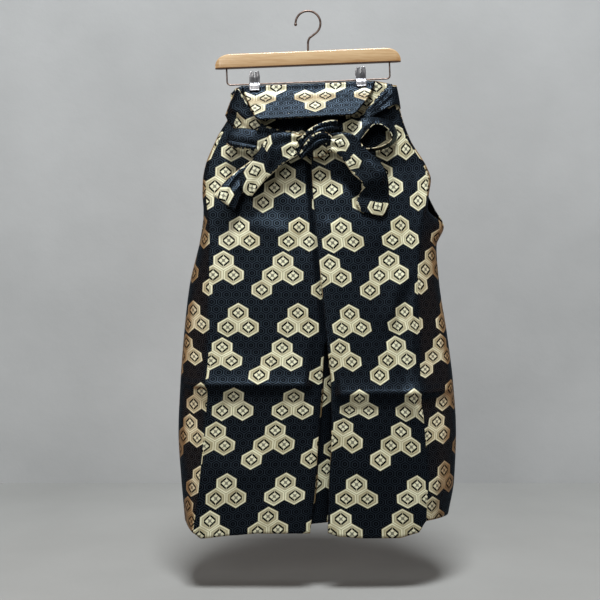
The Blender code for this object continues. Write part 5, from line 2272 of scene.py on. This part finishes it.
# ---------------------------------------------------------------- the studio
@dataclass(frozen=True)
class PlasterFinish:
    """Pale plaster or concrete with soft clouds, seen from its front only."""

    name: str
    light: Triple
    dark: Triple
    clear_to_mirrors: float = 0.75

    def build(self) -> Material:
        """Make the material."""
        made, w, shader = new_material(self.name)
        place = w.node("ShaderNodeTexCoord").outputs["Object"]
        cloud = w.noise(place, 2.2, 5.0, 0.55)
        w.feed(shader, {
            "Base Color": w.mix(cloud, self.light, self.dark),
            "Roughness": 0.85,
            "Specular IOR Level": 0.2,
        })
        w.bump(shader, w.noise(place, 38.0, 4.0, 0.6), 0.15, 0.004)
        glossy = w.node("ShaderNodeLightPath").outputs["Is Glossy Ray"]
        mirrored = w.math("MULTIPLY", glossy, self.clear_to_mirrors)
        behind = w.node("ShaderNodeNewGeometry").outputs["Backfacing"]
        clear = w.node("ShaderNodeBsdfTransparent").outputs[0]
        blend = {0: w.math("MAXIMUM", behind, mirrored), 1: shader.outputs[0], 2: clear}
        blended = w.feed(w.node("ShaderNodeMixShader"), blend).outputs[0]
        w.feed(made.node_tree.nodes["Material Output"], {"Surface": blended})
        return made


@dataclass(frozen=True)
class Lamp:
    """One soft area light: where it stands, what it faces, and its size, power, colour and beam."""

    name: str
    at: Triple
    aim: Triple
    size: Point
    power: float
    colour: Triple
    spread: float = 180.0

    def build(self) -> None:
        """Make the light."""
        data = bpy.data.lights.new(self.name, "AREA")
        data.shape = "RECTANGLE"
        data.size, data.size_y = self.size
        data.energy = self.power
        data.color = self.colour
        data.spread = math.radians(self.spread)
        made = bpy.data.objects.new(self.name, data)
        made.location = self.at
        made.rotation_euler = (Vector(self.aim) - Vector(self.at)).to_track_quat("-Z", "Y").to_euler()
        bpy.context.scene.collection.objects.link(made)


@dataclass
class Studio:
    """A plain pale floor and wall, soft lights and the camera, level and square to the garment's back."""

    floor_z: float = -1.170
    wall_y: float = 1.035
    wall_top: float = 3.0
    half_width: float = 5.0
    front_y: float = -4.0
    floor: PlasterFinish = PlasterFinish("floor_plaster", (0.33, 0.33, 0.32), (0.25, 0.25, 0.24))
    wall: PlasterFinish = PlasterFinish("wall_plaster", (0.53, 0.535, 0.535), (0.36, 0.365, 0.365))
    camera_at: Triple = (-0.0164, -1.90, -0.5904)
    lens: float = 55.6
    sky: Triple = (0.60, 0.64, 0.68)
    lamps: Tuple[Lamp, ...] = (
        Lamp("overhead", (0.05, -2.30, 5.00), (0.0, 0.0, -0.6), (1.8, 1.4), 540.0, (0.95, 0.98, 1.0)),
        Lamp("front", (-1.1, -3.0, 0.6), (0.0, 0.2, -0.9), (1.5, 1.0), 21.0, (1.0, 0.96, 0.90)),
        Lamp("warm_left", (-1.5, -0.15, -0.7), (0.0, 0.0, -0.7), (0.7, 1.2), 0.9, (1.0, 0.40, 0.15), 90.0),
        Lamp("warm_right", (1.5, -0.15, -0.7), (0.0, 0.0, -0.7), (0.7, 1.2), 0.7, (1.0, 0.40, 0.15), 90.0),
    )

    def build(self) -> None:
        """Make the stage, the lights and the camera."""
        wide, front, z, y = self.half_width, self.front_y, self.floor_z, self.wall_y
        self._plane("floor", ((-wide, front, z), (wide, front, z), (wide, y, z), (-wide, y, z)), self.floor)
        top = self.wall_top
        self._plane("wall", ((-wide, y, z), (wide, y, z), (wide, y, top), (-wide, y, top)), self.wall)
        for lamp in self.lamps:
            lamp.build()
        self._world()
        self._camera()

    def _plane(self, name: str, corners: Sequence[Triple], finish: PlasterFinish) -> None:
        """One plain face of the stage."""
        mesh = bpy.data.meshes.new(name)
        mesh.from_pydata([Vector(corner) for corner in corners], [], [(0, 1, 2, 3)])
        mesh_object(mesh, finish.build())

    def _world(self) -> None:
        """A dim, even light from all round, brighter to the camera alone."""
        world = bpy.data.worlds.new("studio")
        world.use_nodes = True
        w = Wiring(world.node_tree)
        seen = w.node("ShaderNodeLightPath").outputs["Is Camera Ray"]
        strength = w.math("MULTIPLY_ADD", seen, 0.47, 0.09)
        w.feed(world.node_tree.nodes["Background"], {0: self.sky, 1: strength})
        bpy.context.scene.world = world
        bpy.context.scene.view_settings.view_transform = "Standard"

    def _camera(self) -> None:
        """The camera."""
        data = bpy.data.cameras.new("camera")
        data.lens = self.lens
        data.sensor_width = 36.0
        data.clip_start = 0.05
        made = bpy.data.objects.new("camera", data)
        made.location = self.camera_at
        made.rotation_euler = (math.pi / 2, 0.0, 0.0)
        bpy.context.scene.collection.objects.link(made)
        bpy.context.scene.camera = made


# ---------------------------------------------------------------- everything, in order
def write_sizes() -> None:
    """Update the view layer; nothing is written."""
    bpy.context.view_layer.update()


def main() -> None:
    """Build the studio, the hanger and the garment."""
    logging.basicConfig(level=logging.INFO, format="%(message)s")
    palette = Palette()
    Studio().build()
    Hanger().build(palette)
    for leg in Leg:
        BackPanel(leg).build(palette)
        InnerLeg(leg).build(palette)
    FrontPanel(Leg.LEFT, (0.34, 0.66)).build(palette)
    FrontPanel(Leg.RIGHT, (0.22, 0.48, 0.74)).build(palette)
    Ties().build(palette)
    Board().build(palette)
    Bow().build(palette)
    write_sizes()


if __name__ == "__main__":
    main()
